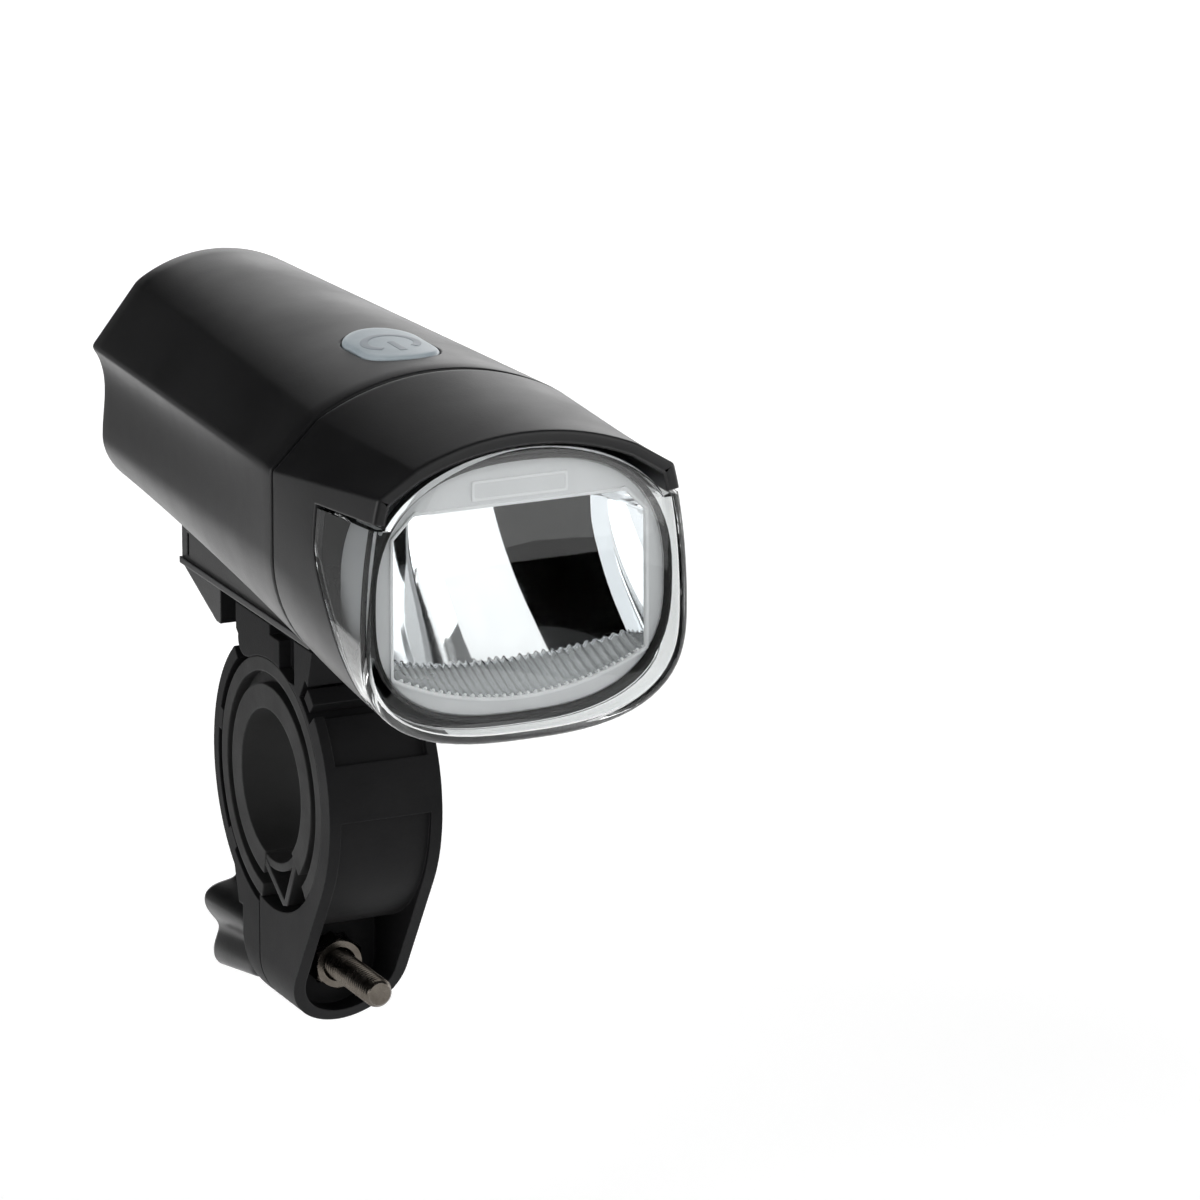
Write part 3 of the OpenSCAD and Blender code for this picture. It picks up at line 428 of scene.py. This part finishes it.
def cut(piece, tool):
    pick(piece)
    trim = piece.modifiers.new("cut", "BOOLEAN")
    trim.operation, trim.solver, trim.object = "DIFFERENCE", "EXACT", tool
    bpy.ops.object.modifier_apply(modifier="cut")
    bpy.data.objects.remove(tool)


button_y, button_w, button_l = -28.0, 13.0, 20.0
button_section = body_section(button_y)


def stadium(grow, level, count=20):
    half, straight = button_w / 2 + grow, (button_l - button_w) / 2
    ring = []
    for side in (1, -1):
        for k in range(count + 1):
            a = math.pi * k / count
            x, y = side * half * math.cos(a), button_y + side * (straight + half * math.sin(a))
            ring.append((x, y, level(x, y)))
        for k in range(1, 6):
            x, y = -side * half, button_y + side * straight * (1 - k / 3)
            ring.append((x, y, level(x, y)))
    return ring


def crown_at(x, y):
    return crown_height(body_section(y), x)


slot_low, slot_high, slot_gap, slot_edge, slot_flare = 74.0, 84.0, 0.12, 0.3, 1.0
pocket = lofted("pocket", [
    stadium(slot_gap, lambda x, y: slot_low), stadium(slot_gap, lambda x, y: crown_at(x, y) - slot_edge),
    stadium(slot_gap + slot_flare, lambda x, y: crown_at(x, y) - slot_edge + slot_flare),
    stadium(slot_gap + slot_flare, lambda x, y: slot_high)])
cut(rear_shell, pocket)

bay_z, bay_r, bay_wall, bay_count = 56.92, 16.52, 1.8, 96
shelf_half, shelf_end, web_low, web_end_low = 10.2, -12.1, 31.5, 38.0


def bay_ring(y, radius):
    turns = [math.tau * k / bay_count for k in range(bay_count)]
    return [(radius * math.sin(a), y, bay_z + radius * math.cos(a)) for a in turns]


cell_bay = lofted("cell_bay", [bay_ring(y, bay_r + grow) for y, grow in (
    (bay_end, bay_wall), (seam_y + 0.3, bay_wall), (seam_y, bay_wall - 0.3),
    (seam_y, 0.4), (seam_y + 0.4, 0), (bay_end, 0))], loop=True)


def slab(name, x, y, z):
    bpy.ops.object.select_all(action="DESELECT")
    bpy.ops.mesh.primitive_cube_add(size=1)
    piece = bpy.context.object
    piece.name = name
    for vertex in piece.data.vertices:
        vertex.co = Vector((x[vertex.co.x > 0], y[vertex.co.y > 0], z[vertex.co.z > 0])) * mm
    return piece


cut(cell_bay, slab("shelf_gap", (-shelf_half, shelf_half), (-60, shelf_end), (bay_z, 100)))
bay_web = slab("bay_web", (-1, 1), (seam_y + 0.5, bay_end), (web_low, bay_z - bay_r - 1.0))
for vertex in bay_web.data.vertices:
    if vertex.co.y > 0:
        vertex.co.z = max(vertex.co.z, web_end_low * mm)


def joined(piece, *others):
    pick(piece)
    for other in others:
        other.select_set(True)
    bpy.ops.object.join()
    return piece


fit(joined(rear_shell, cell_bay, bay_web), black_abs, "head", "black_plastic", "battery_housing", smooth=28)


# ---- Power button ----
# A cloudy grey moulding in a slot of the crown. Its top follows the crown, a flange under the shell holds it in, and
# the usual sign for power stands a little proud on it.

button_rise, flange, flange_low, flange_top = 0.5, 0.95, 73.6, 74.7
cap_edge, cap_rows = ((0, 0.8), (0.06, 0.5), (0.24, 0.24), (0.5, 0.06), (0.8, 0)), (1.6, 2.6, 3.6, 4.6, 5.6, 6.4)


def cap_at(x, y):
    return crown_height(button_section, x) + button_rise


button_rings = [stadium(flange, lambda x, y: flange_low), stadium(flange, lambda x, y: flange_top),
                stadium(0, lambda x, y: flange_top + 0.1)]
for inset, drop in cap_edge:
    button_rings.append(stadium(-inset, lambda x, y, drop=drop: cap_at(x, y) - drop))
for inset in cap_rows:
    button_rings.append(stadium(-inset, cap_at))
button_cap = lofted("button_cap", button_rings)
cloudy_grey = grained("cloudy_grey", (0.28, 0.33, 0.36), (0.38, 0.43, 0.46), 0.30, 0.42, 2200, 0.02, edge=0.25,
                      patch=160)
tune(cloudy_grey.node_tree.nodes["Principled BSDF"],
     ("Subsurface Weight", 0.35), ("Subsurface Radius", (0.002, 0.002, 0.002)))
fit(button_cap, cloudy_grey, "button", "grey_translucent", "power_button", smooth=40)

mark_r, mark_gap, stroke, stroke_rise, bar_out, bar_step = 4.3, 38, 1.3, 0.06, 1.2, 0.55
stroke_shape = ((-1, -0.3), (-1, 0.5), (-0.6, 1), (0.6, 1), (1, 0.5), (1, -0.3))


def raised_stroke(name, path):
    rings = []
    for k, p in enumerate(path):
        ahead = (path[min(k + 1, len(path) - 1)] - path[max(k - 1, 0)]).normalized()
        across = Vector((-ahead.y, ahead.x))
        ring = []
        for side, height in stroke_shape:
            q = p + across * (side * stroke / 2)
            ring.append((q.x, q.y, cap_at(q.x, q.y) + height * stroke_rise))
        rings.append(ring)
    return lofted(name, rings)


ring_path = [Vector((mark_r * math.sin(math.radians(a)), button_y - mark_r * math.cos(math.radians(a))))
             for a in range(mark_gap, 361 - mark_gap, 6)]
bar_path = [Vector((0, button_y - mark_r - bar_out + bar_step * k)) for k in range(11)]
mark_grey = grained("mark_grey", (0.24, 0.27, 0.30), (0.29, 0.32, 0.35), 0.35, 0.5, 2200, 0.01, edge=0.1, patch=200)
power_mark = joined(raised_stroke("power_mark", ring_path), raised_stroke("power_bar", bar_path))
fit(power_mark, mark_grey, "button", "grey_translucent", smooth=40)


# ---- Cells, tray, contacts and boards ----
# Inside the bay, three sleeved cells lie in a black nylon carrier with nickel-plated springs and plates. The lacquered
# switch board is on the carrier's shelf, and the light source's board is over the bowl.

dress(black_nylon, "battery_tray", "push_switch")
dress(grained("cell_sleeve", (0.42, 0.27, 0.10), (0.50, 0.33, 0.14), 0.25, 0.36, 900, 0.01, edge=0.3,
              edge_tone=(0.6, 0.5, 0.35), metal=0.6), "battery_cells")
dress(grained("bright_nickel", (0.52, 0.50, 0.46), (0.66, 0.64, 0.60), 0.18, 0.32, 5000, 0.006, edge=0.1, metal=1.0,
              patch=400), "contact_springs", "contact_plates")
dress(grained("green_lacquer", (0.02, 0.12, 0.05), (0.03, 0.18, 0.08), 0.25, 0.35, 1800, 0.01, edge=0.1),
      "switch_board")
dress(grained("white_lacquer", (0.72, 0.72, 0.70), (0.80, 0.80, 0.78), 0.30, 0.40, 1800, 0.01, edge=0.1), "led_board")
dress(grained("phosphor", (0.80, 0.62, 0.12), (0.90, 0.74, 0.24), 0.20, 0.30, 4000, 0.01, edge=0.1), "led_emitter")
dress(grained("blue_resin", (0.22, 0.45, 0.80), (0.34, 0.58, 0.90), 0.12, 0.20, 3000, 0.005, edge=0.1), "status_led")


# ---- Front housing and its seal ----
# The front shell carries on the rear one's shape and ends above in a plain visor, below in a curved parting against
# the lens. A bulkhead and a spigot at its rear plug into the cell bay, with a rubber seal in the seam.

dress(soft_rubber, "housing_seal", "lens_gasket")


def nose_section_at(y):
    t = (front_y - y) / (front_y - visor_y)
    return [mix(a, b, t) for a, b in zip(seam_section, nose_section)]


kept_outlines, nose_round = {}, 0.4


def nose_point(j, y, inset):
    key = (round(y, 3), round(inset, 3))
    if key not in kept_outlines:
        kept_outlines[key] = outline(nose_section_at(y), inset, nose_round)
    p = kept_outlines[key][j]
    return (p.x, y, p.y)


ring_count = 2 * half_count - 2


def is_top(j):
    return min(j, ring_count - j) < top_count


part_far, part_near, part_high, part_drop, part_share = 19.6, 6.2, 60.0, 22, 0.6


def parting(z):
    return visor_y + mix(part_far, part_near, ease((part_high - z) / part_drop))


parting_outline = outline(nose_section_at(mix(front_y, visor_y, part_share)))
nose_edges = [visor_y if is_top(j) else parting(parting_outline[j].y) for j in range(ring_count)]


def nose_ring(t, inset, shift=0.0):
    return [nose_point(j, mix(front_y, nose_edges[j], t) + shift, inset) for j in range(ring_count)]


front_rings = [nose_ring(0, inset, -along) for inset, along in quarter(seam_round)]
front_rings += [nose_ring(mix(0.03, 0.97, t), 0) for t in shares(14)]
front_rings += [nose_ring(1, inset, along) for along, inset in quarter(seam_round)]
front_rings += [nose_ring(1, wall - 0.4), nose_ring(1, wall, 0.3)]
front_rings += [nose_ring(mix(0.95, 0, t), wall) for t in shares(8)]
front_shell = lofted("front_shell", front_rings, loop=True)

lead_r, bulk_t, bulk_inset, spigot_l, spigot_in = 5, 2, 1.1, 10, 2.1
plug = outline(seam_section, bulk_inset)
bore = []
for p in plug:
    away = Vector((p.x, p.y - bay_z)).normalized() * lead_r
    bore.append(Vector((away.x, bay_z + away.y)))
bulkhead = lofted("bulkhead", [[(p.x, y, p.y) for p in ring] for ring, y in (
    (plug, front_y - 0.1), (plug, front_y - bulk_t), (bore, front_y - bulk_t), (bore, front_y - 0.1))], loop=True)
spigot = lofted("spigot", [bay_ring(front_y + along, bay_r - inset) for along, inset in (
    (-0.5, 0.1), (spigot_l - 0.5, 0.1), (spigot_l, 0.6), (spigot_l, spigot_in - 0.4), (spigot_l - 0.4, spigot_in),
    (-0.5, spigot_in))], loop=True)
cut(spigot, slab("shelf_way", (-shelf_half, shelf_half), (front_y, 0), (bay_z + 5, 100)))
fit(joined(front_shell, bulkhead, spigot), black_abs, "front", "black_plastic", "front_housing", smooth=28)


# ---- Reflector ----
# One moulding with a vacuum-coated mirror: a bowl that is deepest at the top, between drafted side walls, with fine
# flutes and beads along its bowed lower edge. A satin bezel with a small bare plate goes round its mouth, and a grey
# skirt runs back from it. Two screws hold it.

face_y = -78.0
mouth_half, mouth_top, mouth_low, mouth_sag, mouth_cut = 21.6, 67.3, 36.0, 5.3, 3.5
bow_r = (mouth_half ** 2 + mouth_sag ** 2) / (2 * mouth_sag)
focus, bowl_depth, roof_slope = 15.8, 21.5, 6
flutes, flute_depth, flute_slope, flute_start = 32, 0.34, 2.7, 0.5


def bow_z(x):
    return mouth_low + bow_r - math.sqrt(bow_r * bow_r - x * x)


def mouth_roof(x):
    return mouth_top - max(0, abs(x) - mouth_half + mouth_cut)


def hollow(x, z):
    return bowl_depth - (x * x + (mouth_top - z) ** 2) / (4 * focus)


def mirror_depth(x, z):
    rise = z - bow_z(x)
    wave = abs(math.sin(math.pi * flutes * (x + mouth_half) / (2 * mouth_half)))
    ripple = flute_depth * wave * min(1, rise / flute_start)
    return max(0, min(hollow(x, z), flute_slope * (rise + ripple), roof_slope * (mouth_roof(x) - z)))


def sheet_grid(name, columns, rows, place):
    bpy.ops.object.select_all(action="DESELECT")
    bpy.ops.mesh.primitive_grid_add(x_subdivisions=columns, y_subdivisions=rows)
    piece = bpy.context.object
    piece.name = name
    for vertex in piece.data.vertices:
        row, column = divmod(vertex.index, columns + 1)
        vertex.co = Vector(place(column / columns, row / rows)) * mm
    return piece


wall_draft, back_t = math.tan(math.radians(8)), 1.2
mirror_columns, mirror_rows, fine_rows, fine_rise = flutes * 8, 90, 0.6, 0.3


def mirror_place(u, v):
    column = round(u * (mirror_columns + 2)) - 1
    across = mix(-1, 1, min(1, max(0, column / mirror_columns)))
    v = fine_rise * v / fine_rows if v < fine_rows else mix(fine_rise, 1, (v - fine_rows) / (1 - fine_rows))
    z = mix(bow_z(across * mouth_half), mouth_roof(across * mouth_half), v)
    if not 0 <= column <= mirror_columns:
        return (across * mouth_half, face_y, z)
    side_z = mix(bow_z(mouth_half), mouth_roof(mouth_half), v)
    inner = mouth_half
    for _ in range(6):
        inner = mouth_half - wall_draft * mirror_depth(inner, side_z)
    return (across * inner, face_y + mirror_depth(across * inner, z), z)


bowl = sheet_grid("bowl", mirror_columns + 2, mirror_rows, mirror_place)
pick(bowl)
backing = bowl.modifiers.new("backing", "SOLIDIFY")
backing.thickness, backing.offset = back_t * mm, -1
bpy.ops.object.modifier_apply(modifier="backing")

bezel_half, bezel_mid, bezel_up, bezel_down, full_up, full_down = 25.0, 53.0, 21.5, 19.8, 2.5, 2.7
bezel_count, skirt_l, mouth_far, corner_x, corner_grow = 360, 13, 60.0, 17.5, 1.4


def bezel_point(a, grow=0.0):
    up, full = (bezel_up, full_up) if math.cos(a) > 0 else (bezel_down, full_down)
    return Vector(((bezel_half + grow) * math.copysign(abs(math.sin(a)) ** (2 / full), math.sin(a)),
                   bezel_mid + (up + grow) * math.copysign(abs(math.cos(a)) ** (2 / full), math.cos(a))))


def mouth_point(way, grow=0.0):
    low, high = 0.0, mouth_far
    for _ in range(40):
        reach = (low + high) / 2
        x, z = way.x * reach, bezel_mid + way.y * reach
        inside = abs(x) < mouth_half + grow and z < mouth_roof(x) + grow * (corner_grow if abs(x) > corner_x else 1)
        inside = inside and (abs(x) >= bow_r or z > bow_z(x) - grow)
        low, high = (reach, high) if inside else (low, reach)
    return Vector((way.x * low, bezel_mid + way.y * low))


bezel_turns = [math.tau * k / bezel_count for k in range(bezel_count)]
bezel_ways = [(bezel_point(a) - Vector((0, bezel_mid))).normalized() for a in bezel_turns]


def bezel_ring(grow, y):
    points = [bezel_point(a, grow) for a in bezel_turns]
    return [(p.x, y, p.y) for p in points]


def mouth_ring(grow, y):
    points = [mouth_point(way, grow) for way in bezel_ways]
    return [(p.x, y, p.y) for p in points]


bezel_rings = [bezel_ring(grow, face_y + back) for grow, back in (
    (-2.0, skirt_l), (-1.2, skirt_l), (-0.2, 1.6), (0, 1.4), (0, 0.3), (-0.3, 0))]
bezel_rings += [mouth_ring(grow, face_y + back) for grow, back in (
    (0.55, 0), (0.5, -0.3), (0.12, -0.3), (-0.05, -0.05), (-0.05, 1.0), (0.6, 1.6))]
bezel = lofted("bezel", bezel_rings + [bezel_ring(-1.4, face_y + 2.6)], loop=True)

bead, bead_r = None, 0.3
for k in range(flutes - 1):
    x = mouth_half * (2 * (k + 1) / flutes - 1)
    bpy.ops.object.select_all(action="DESELECT")
    bpy.ops.mesh.primitive_ico_sphere_add(subdivisions=2, radius=bead_r * mm,
                                          location=Vector((x, face_y, bow_z(x) + bead_r)) * mm)
    bpy.ops.object.transform_apply()
    bead = joined(bead, bpy.context.object) if bead else bpy.context.object
mirror = grained("mirror", (0.89, 0.90, 0.91), (0.93, 0.94, 0.95), 0.02, 0.05, 900, 0.001, edge=0.06, metal=1.0,
                 patch=90)
fluted = grained("fluted_mirror", (0.66, 0.67, 0.67), (0.74, 0.75, 0.75), 0.22, 0.30, 900, 0.002, edge=0.06, metal=0.8)
backed = grained("coated_back", (0.40, 0.41, 0.42), (0.50, 0.51, 0.52), 0.35, 0.45, 1800, 0.02, edge=0.2, metal=0.3)
satin = grained("satin_bezel", (0.76, 0.77, 0.78), (0.82, 0.83, 0.84), 0.40, 0.48, 4200, 0.012, edge=0.1,
                edge_tone=(0.90, 0.91, 0.92), patch=140)
bright_edge = grained("bright_edge", (0.90, 0.91, 0.92), (0.95, 0.96, 0.97), 0.25, 0.35, 4200, 0.004, edge=0.05)

bright_part, fluted_part, backed_part, edge_part = range(4)
edge_high, edge_deep, flutes_high, bowl_gap = 0.65, 0.35, 52, 0.3


def mirror_part(face):
    spot = face.center / mm
    outward = face.normal.x * math.copysign(1, spot.x)
    if abs(spot.x) < mouth_half and spot.z < bow_z(spot.x) + edge_high and spot.y < face_y + edge_deep:
        return edge_part
    if face.normal.y > 0.2 or outward > 0.7:
        return backed_part
    if outward < -0.85:
        return bright_part
    shallow = spot.y - face_y < hollow(spot.x, spot.z) - bowl_gap
    return fluted_part if shallow and spot.z < flutes_high and abs(spot.x) < mouth_half - 0.05 else bright_part


fit(joined(bowl, bead), mirror, "front", "mirror_coating", "reflector", smooth=22)
for finish in (fluted, backed, bright_edge):
    bowl.data.materials.append(finish)
for face in bowl.data.polygons:
    face.material_index = mirror_part(face)

plate_half, plate_low, plate_high, plate_soft = 8.2, 68.5, 71.8, 0.35
plate_z = (plate_low + plate_high) / 2


def plate_ring(inset, y):
    flat_w, flat_h = plate_half - inset - plate_soft, (plate_high - plate_low) / 2 - inset - plate_soft
    ring = []
    for sx, sz in ((1, 1), (1, -1), (-1, -1), (-1, 1)):
        for k in range(5):
            a = math.pi / 8 * (k if sx * sz > 0 else 4 - k)
            ring.append((sx * (flat_w + plate_soft * math.sin(a)), y,
                         plate_z + sz * (flat_h + plate_soft * math.cos(a))))
    return ring


mark_plate = lofted("mark_plate", [plate_ring(inset, face_y - ahead) for inset, ahead in (
    (0, -0.2), (0, 0.18), (0.1, 0.25), (0.35, 0.25), (0.45, 0.12))])
fit(joined(bezel, mark_plate), satin, "front", "mirror_coating", smooth=22)
lip_ahead, skirt_back = 0.15, 1.4
for finish in (bright_edge, backed):
    bezel.data.materials.append(finish)
for face in bezel.data.polygons:
    ahead = face_y - face.center.y / mm
    face.material_index = 1 if ahead > lip_ahead else 2 if ahead < -skirt_back else 0


# ---- Lens ----
# A clear polycarbonate cover, flush with the housing below and tucked under the visor above, with a window let into
# each flank and a rounded rim. It is welded to the front housing.

lens_y, lens_wall, lens_round = -81.8, 1.4, 1.6
tuck_l, tuck_in, tuck_share, arch_drop, arch_turn, weld_gap = 9, 2.5, 0.35, 7.0, 1.35, 0.3
side_rows = (0.03, 0.15, 0.3, 0.5, 0.7, 0.85)


def lens_point(j, y, inset):
    from_top = min(j, ring_count - j)
    if from_top >= top_count + 2:
        return nose_point(j, y, inset)
    thin = inset * tuck_share
    edge_x, _, edge_z = nose_point(top_count + 1, y, tuck_in)
    apex = nose_point(0, y, tuck_in)[2]
    middle = edge_z - arch_drop
    wide = edge_x / math.sqrt(1 - ((edge_z - middle) / (apex - middle)) ** 2) - thin
    x = (edge_x - thin) * math.sin(from_top / (top_count + 1) * arch_turn) / math.sin(arch_turn)
    z = middle + (apex - thin - middle) * math.sqrt(1 - (x / wide) ** 2)
    return (x if j < half_count else -x, y, z)


def lens_rear(j):
    return visor_y + tuck_l if is_top(j) else nose_edges[j] - weld_gap


def lens_ring(t, inset, y_end):
    return [lens_point(j, mix(lens_rear(j), y_end, t), inset) for j in range(ring_count)]


def lens_front(inset, y):
    return [lens_point(j, y, inset) for j in range(ring_count)]


pane = lens_y + lens_wall
lens_rings = [lens_front(lens_wall + 0.9, pane), lens_front(lens_wall + 0.3, pane + 0.1)]
lens_rings += [lens_ring(t, lens_wall, pane + 0.5) for t in (1, *reversed(side_rows))]
lens_rings += [lens_ring(0, lens_wall - 0.3, pane), lens_ring(0, 0.3, pane)]
lens_rings += [lens_ring(t, 0, lens_y + lens_round) for t in side_rows]
lens_rings += [lens_front(inset, lens_y + along) for along, inset in quarter(lens_round, 8)]
lens_cover = lofted("lens_cover", lens_rings)

clear, clear_tree, clear_shader = new_finish("clear_polycarbonate")
tune(clear_shader, ("Base Color", (0.97, 0.985, 0.985, 1)), ("IOR", 1.5), ("Specular IOR Level", 0.12),
     ("Transmission Weight", 1.0))
clear_skin = add_group(clear_tree, moulded_grain, Fineness=400.0, Patch=120.0)
clear_tree.links.new(spread(clear_tree, clear_skin.outputs["Tone"], 0.0, 0.02), clear_shader.inputs["Roughness"])
clear_bump = clear_tree.nodes.new("ShaderNodeBump")
tune(clear_bump, ("Strength", 0.2), ("Distance", 0.002 * mm))
clear_tree.links.new(clear_skin.outputs["Height"], clear_bump.inputs["Height"])
clear_tree.links.new(clear_bump.outputs["Normal"], clear_shader.inputs["Normal"])
light_path = clear_tree.nodes.new("ShaderNodeLightPath")
see_through = clear_tree.nodes.new("ShaderNodeBsdfTransparent")
pass_light = clear_tree.nodes.new("ShaderNodeMixShader")
clear_tree.links.new(light_path.outputs["Is Shadow Ray"], pass_light.inputs["Fac"])
clear_tree.links.new(clear_shader.outputs["BSDF"], pass_light.inputs[1])
clear_tree.links.new(see_through.outputs["BSDF"], pass_light.inputs[2])
clear_tree.links.new(pass_light.outputs["Shader"], clear_tree.nodes["Material Output"].inputs["Surface"])
fit(lens_cover, clear, "front", "clear_plastic", "lens", smooth=30)


# ---- Studio ----
# A plain pale floor under the light and soft lamps above and at both sides. Gloss and mirrors also see cards: white
# ones below and to the right, dark ones ahead and behind. The surround is white low down and dark above.

scene = bpy.context.scene
floor_size, floor_z, floor_far, gloss_glow, clear_glow = 12, -0.1, 4, 0.55, 0.25
floor_tones = ((0.2, 0.32), (0.5, 0.5), (1.2, 0.8), (2.5, 1.0))
bpy.ops.object.select_all(action="DESELECT")
bpy.ops.mesh.primitive_plane_add(size=floor_size, location=(0, 0, floor_z))
floor = bpy.context.object
floor.name = "studio_floor"
floor_paint, floor_tree, floor_shader = new_finish("floor_paint")
tune(floor_shader, ("Base Color", (0.9, 0.9, 0.9, 1)), ("Roughness", 0.9), ("Emission Color", (1, 1, 1, 1)))
seen = floor_tree.nodes.new("ShaderNodeLightPath")
only_gloss = math_node(floor_tree, "SUBTRACT", seen.outputs["Is Glossy Ray"], seen.outputs["Is Transmission Ray"])
glow = math_node(floor_tree, "MULTIPLY", math_node(floor_tree, "MAXIMUM", only_gloss, 0.0), gloss_glow)
floor_place = floor_tree.nodes.new("ShaderNodeTexCoord")
floor_reach = floor_tree.nodes.new("ShaderNodeVectorMath")
floor_reach.operation = "LENGTH"
floor_tree.links.new(floor_place.outputs["Object"], floor_reach.inputs[0])
paling = ramp(floor_tree, math_node(floor_tree, "MULTIPLY", floor_reach.outputs["Value"], 1 / floor_far), [
    (reach / floor_far, (tone, tone, tone)) for reach, tone in floor_tones])
for label, share in (("Is Camera Ray", paling), ("Is Transmission Ray", clear_glow)):
    glow = math_node(floor_tree, "ADD", glow, math_node(floor_tree, "MULTIPLY", seen.outputs[label], share))
floor_tree.links.new(glow, floor_shader.inputs["Emission Strength"])
floor.data.materials.append(floor_paint)

card_foot, dark_top, white_top, rear_mid = -98, 2600, 600, 110


def card(name, tone, columns, rows, place):
    sheet = sheet_grid(name, columns, rows, place)
    paint, _, shader = new_finish(name)
    tune(shader, ("Base Color", (0, 0, 0, 1)), ("Specular IOR Level", 0), ("Emission Color", (1, 1, 1, 1)),
         ("Emission Strength", tone))
    sheet.data.materials.append(paint)
    sheet.visible_camera = sheet.visible_diffuse = sheet.visible_shadow = False


def standing(start, end, near, far, top, foot=card_foot):
    def place(u, v):
        a, reach = math.radians(mix(start, end, u)), mix(near, far, min(1, v * 2))
        return (reach * math.sin(a), -reach * math.cos(a), mix(foot, top, max(0, v * 2 - 1)))
    return place


# The white sheet is laid out by following the camera's rays back from the patch of the bowl that shows it.
eye, looking = Vector((-549.5, -1309.5, 450.8)), Vector((0.399, 0.872, -0.284)).normalized()
patch_bend, sheet_drop, sheet_far = 0.86, 145, 1300


def mirrored(u, v):
    z = mix(mouth_low + 2, mouth_top - mix(3.0, 1.2, u), v)
    right = mix(8.0, 4.0, v / patch_bend) if v < patch_bend else mix(4.0, 1.4, (v - patch_bend) / (1 - patch_bend))
    x = mix(mix(-5.4, -7.8, v), right, u)
    spot = Vector((x, face_y + mirror_depth(x, z), z))
    square = Vector((-x, -2 * focus, mouth_top - z)).normalized()
    away = (spot - eye).normalized().reflect(square)
    return spot + away * min(sheet_far, sheet_drop / max(0.01, -away.z))


card("white_sheet", 1.35, 12, 28, mirrored)
card("dark_card", 0.0, 14, 6, standing(-62, 42, 400, 1900, dark_top))
card("dark_side", 0.0, 4, 6, standing(42, 51, 1900, 1910, dark_top, foot=white_top))
card("white_side", 1.35, 8, 6, standing(42, 78, 600, 1900, white_top))
card("grey_card", 0.22, 8, 6, standing(51, 82, 1900, 1910, dark_top, foot=white_top))
card("rear_floor", 1.2, 8, 2, standing(-182, -140, 240, 430, card_foot))
card("rear_low", 0.25, 8, 6, standing(-182, -118, 430, 450, rear_mid))
card("rear_high", 0.0, 8, 6, standing(-188, -118, 440, 450, 700, foot=rear_mid))

lamp_aim = Vector((0, -0.02, 0.05))


def softbox(name, place, size, power):
    lamp = bpy.data.lights.new(name, "AREA")
    lamp.shape, lamp.size, lamp.size_y, lamp.energy = "RECTANGLE", size[0], size[1], power
    holder = bpy.data.objects.new(name, lamp)
    holder.location = place
    holder.rotation_euler = (lamp_aim - Vector(place)).to_track_quat("-Z", "Y").to_euler()
    holder.visible_glossy = False
    scene.collection.objects.link(holder)


softbox("top_box", (0.1, 0.3, 1.5), (1.4, 1.2), 13)
softbox("left_box", (-1.4, -0.8, 0.6), (0.8, 1.4), 7)
softbox("right_box", (1.4, -0.8, 0.6), (0.8, 1.4), 7)

studio = bpy.data.worlds.new("studio")
scene.world = studio
studio.use_nodes = True
sky = studio.node_tree
sky_place = sky.nodes.new("ShaderNodeTexCoord")
sky_split = sky.nodes.new("ShaderNodeSeparateXYZ")
sky.links.new(sky_place.outputs["Generated"], sky_split.inputs["Vector"])
sky_tone = ramp(sky, sky_split.outputs["Z"], [(z, (tone, tone, tone)) for z, tone in (
    (0.05, 1.0), (0.15, 0.95), (0.22, 0.6), (0.29, 0.37), (0.36, 0.24), (0.43, 0.07), (0.5, 0.012))])
sky.links.new(sky_tone, sky.nodes["Background"].inputs["Color"])
sky.nodes["Background"].inputs["Strength"].default_value = 2.4

photo_half, focal = 600, 9000
photo_camera = bpy.data.objects.new("photo_camera", bpy.data.cameras.new("photo_camera"))
photo_camera.data.angle = 2 * math.atan(photo_half / focal)
photo_camera.location = eye * mm
photo_camera.rotation_euler = looking.to_track_quat("-Z", "Y").to_euler()
scene.collection.objects.link(photo_camera)
scene.camera = photo_camera
scene.view_settings.view_transform = "Standard"
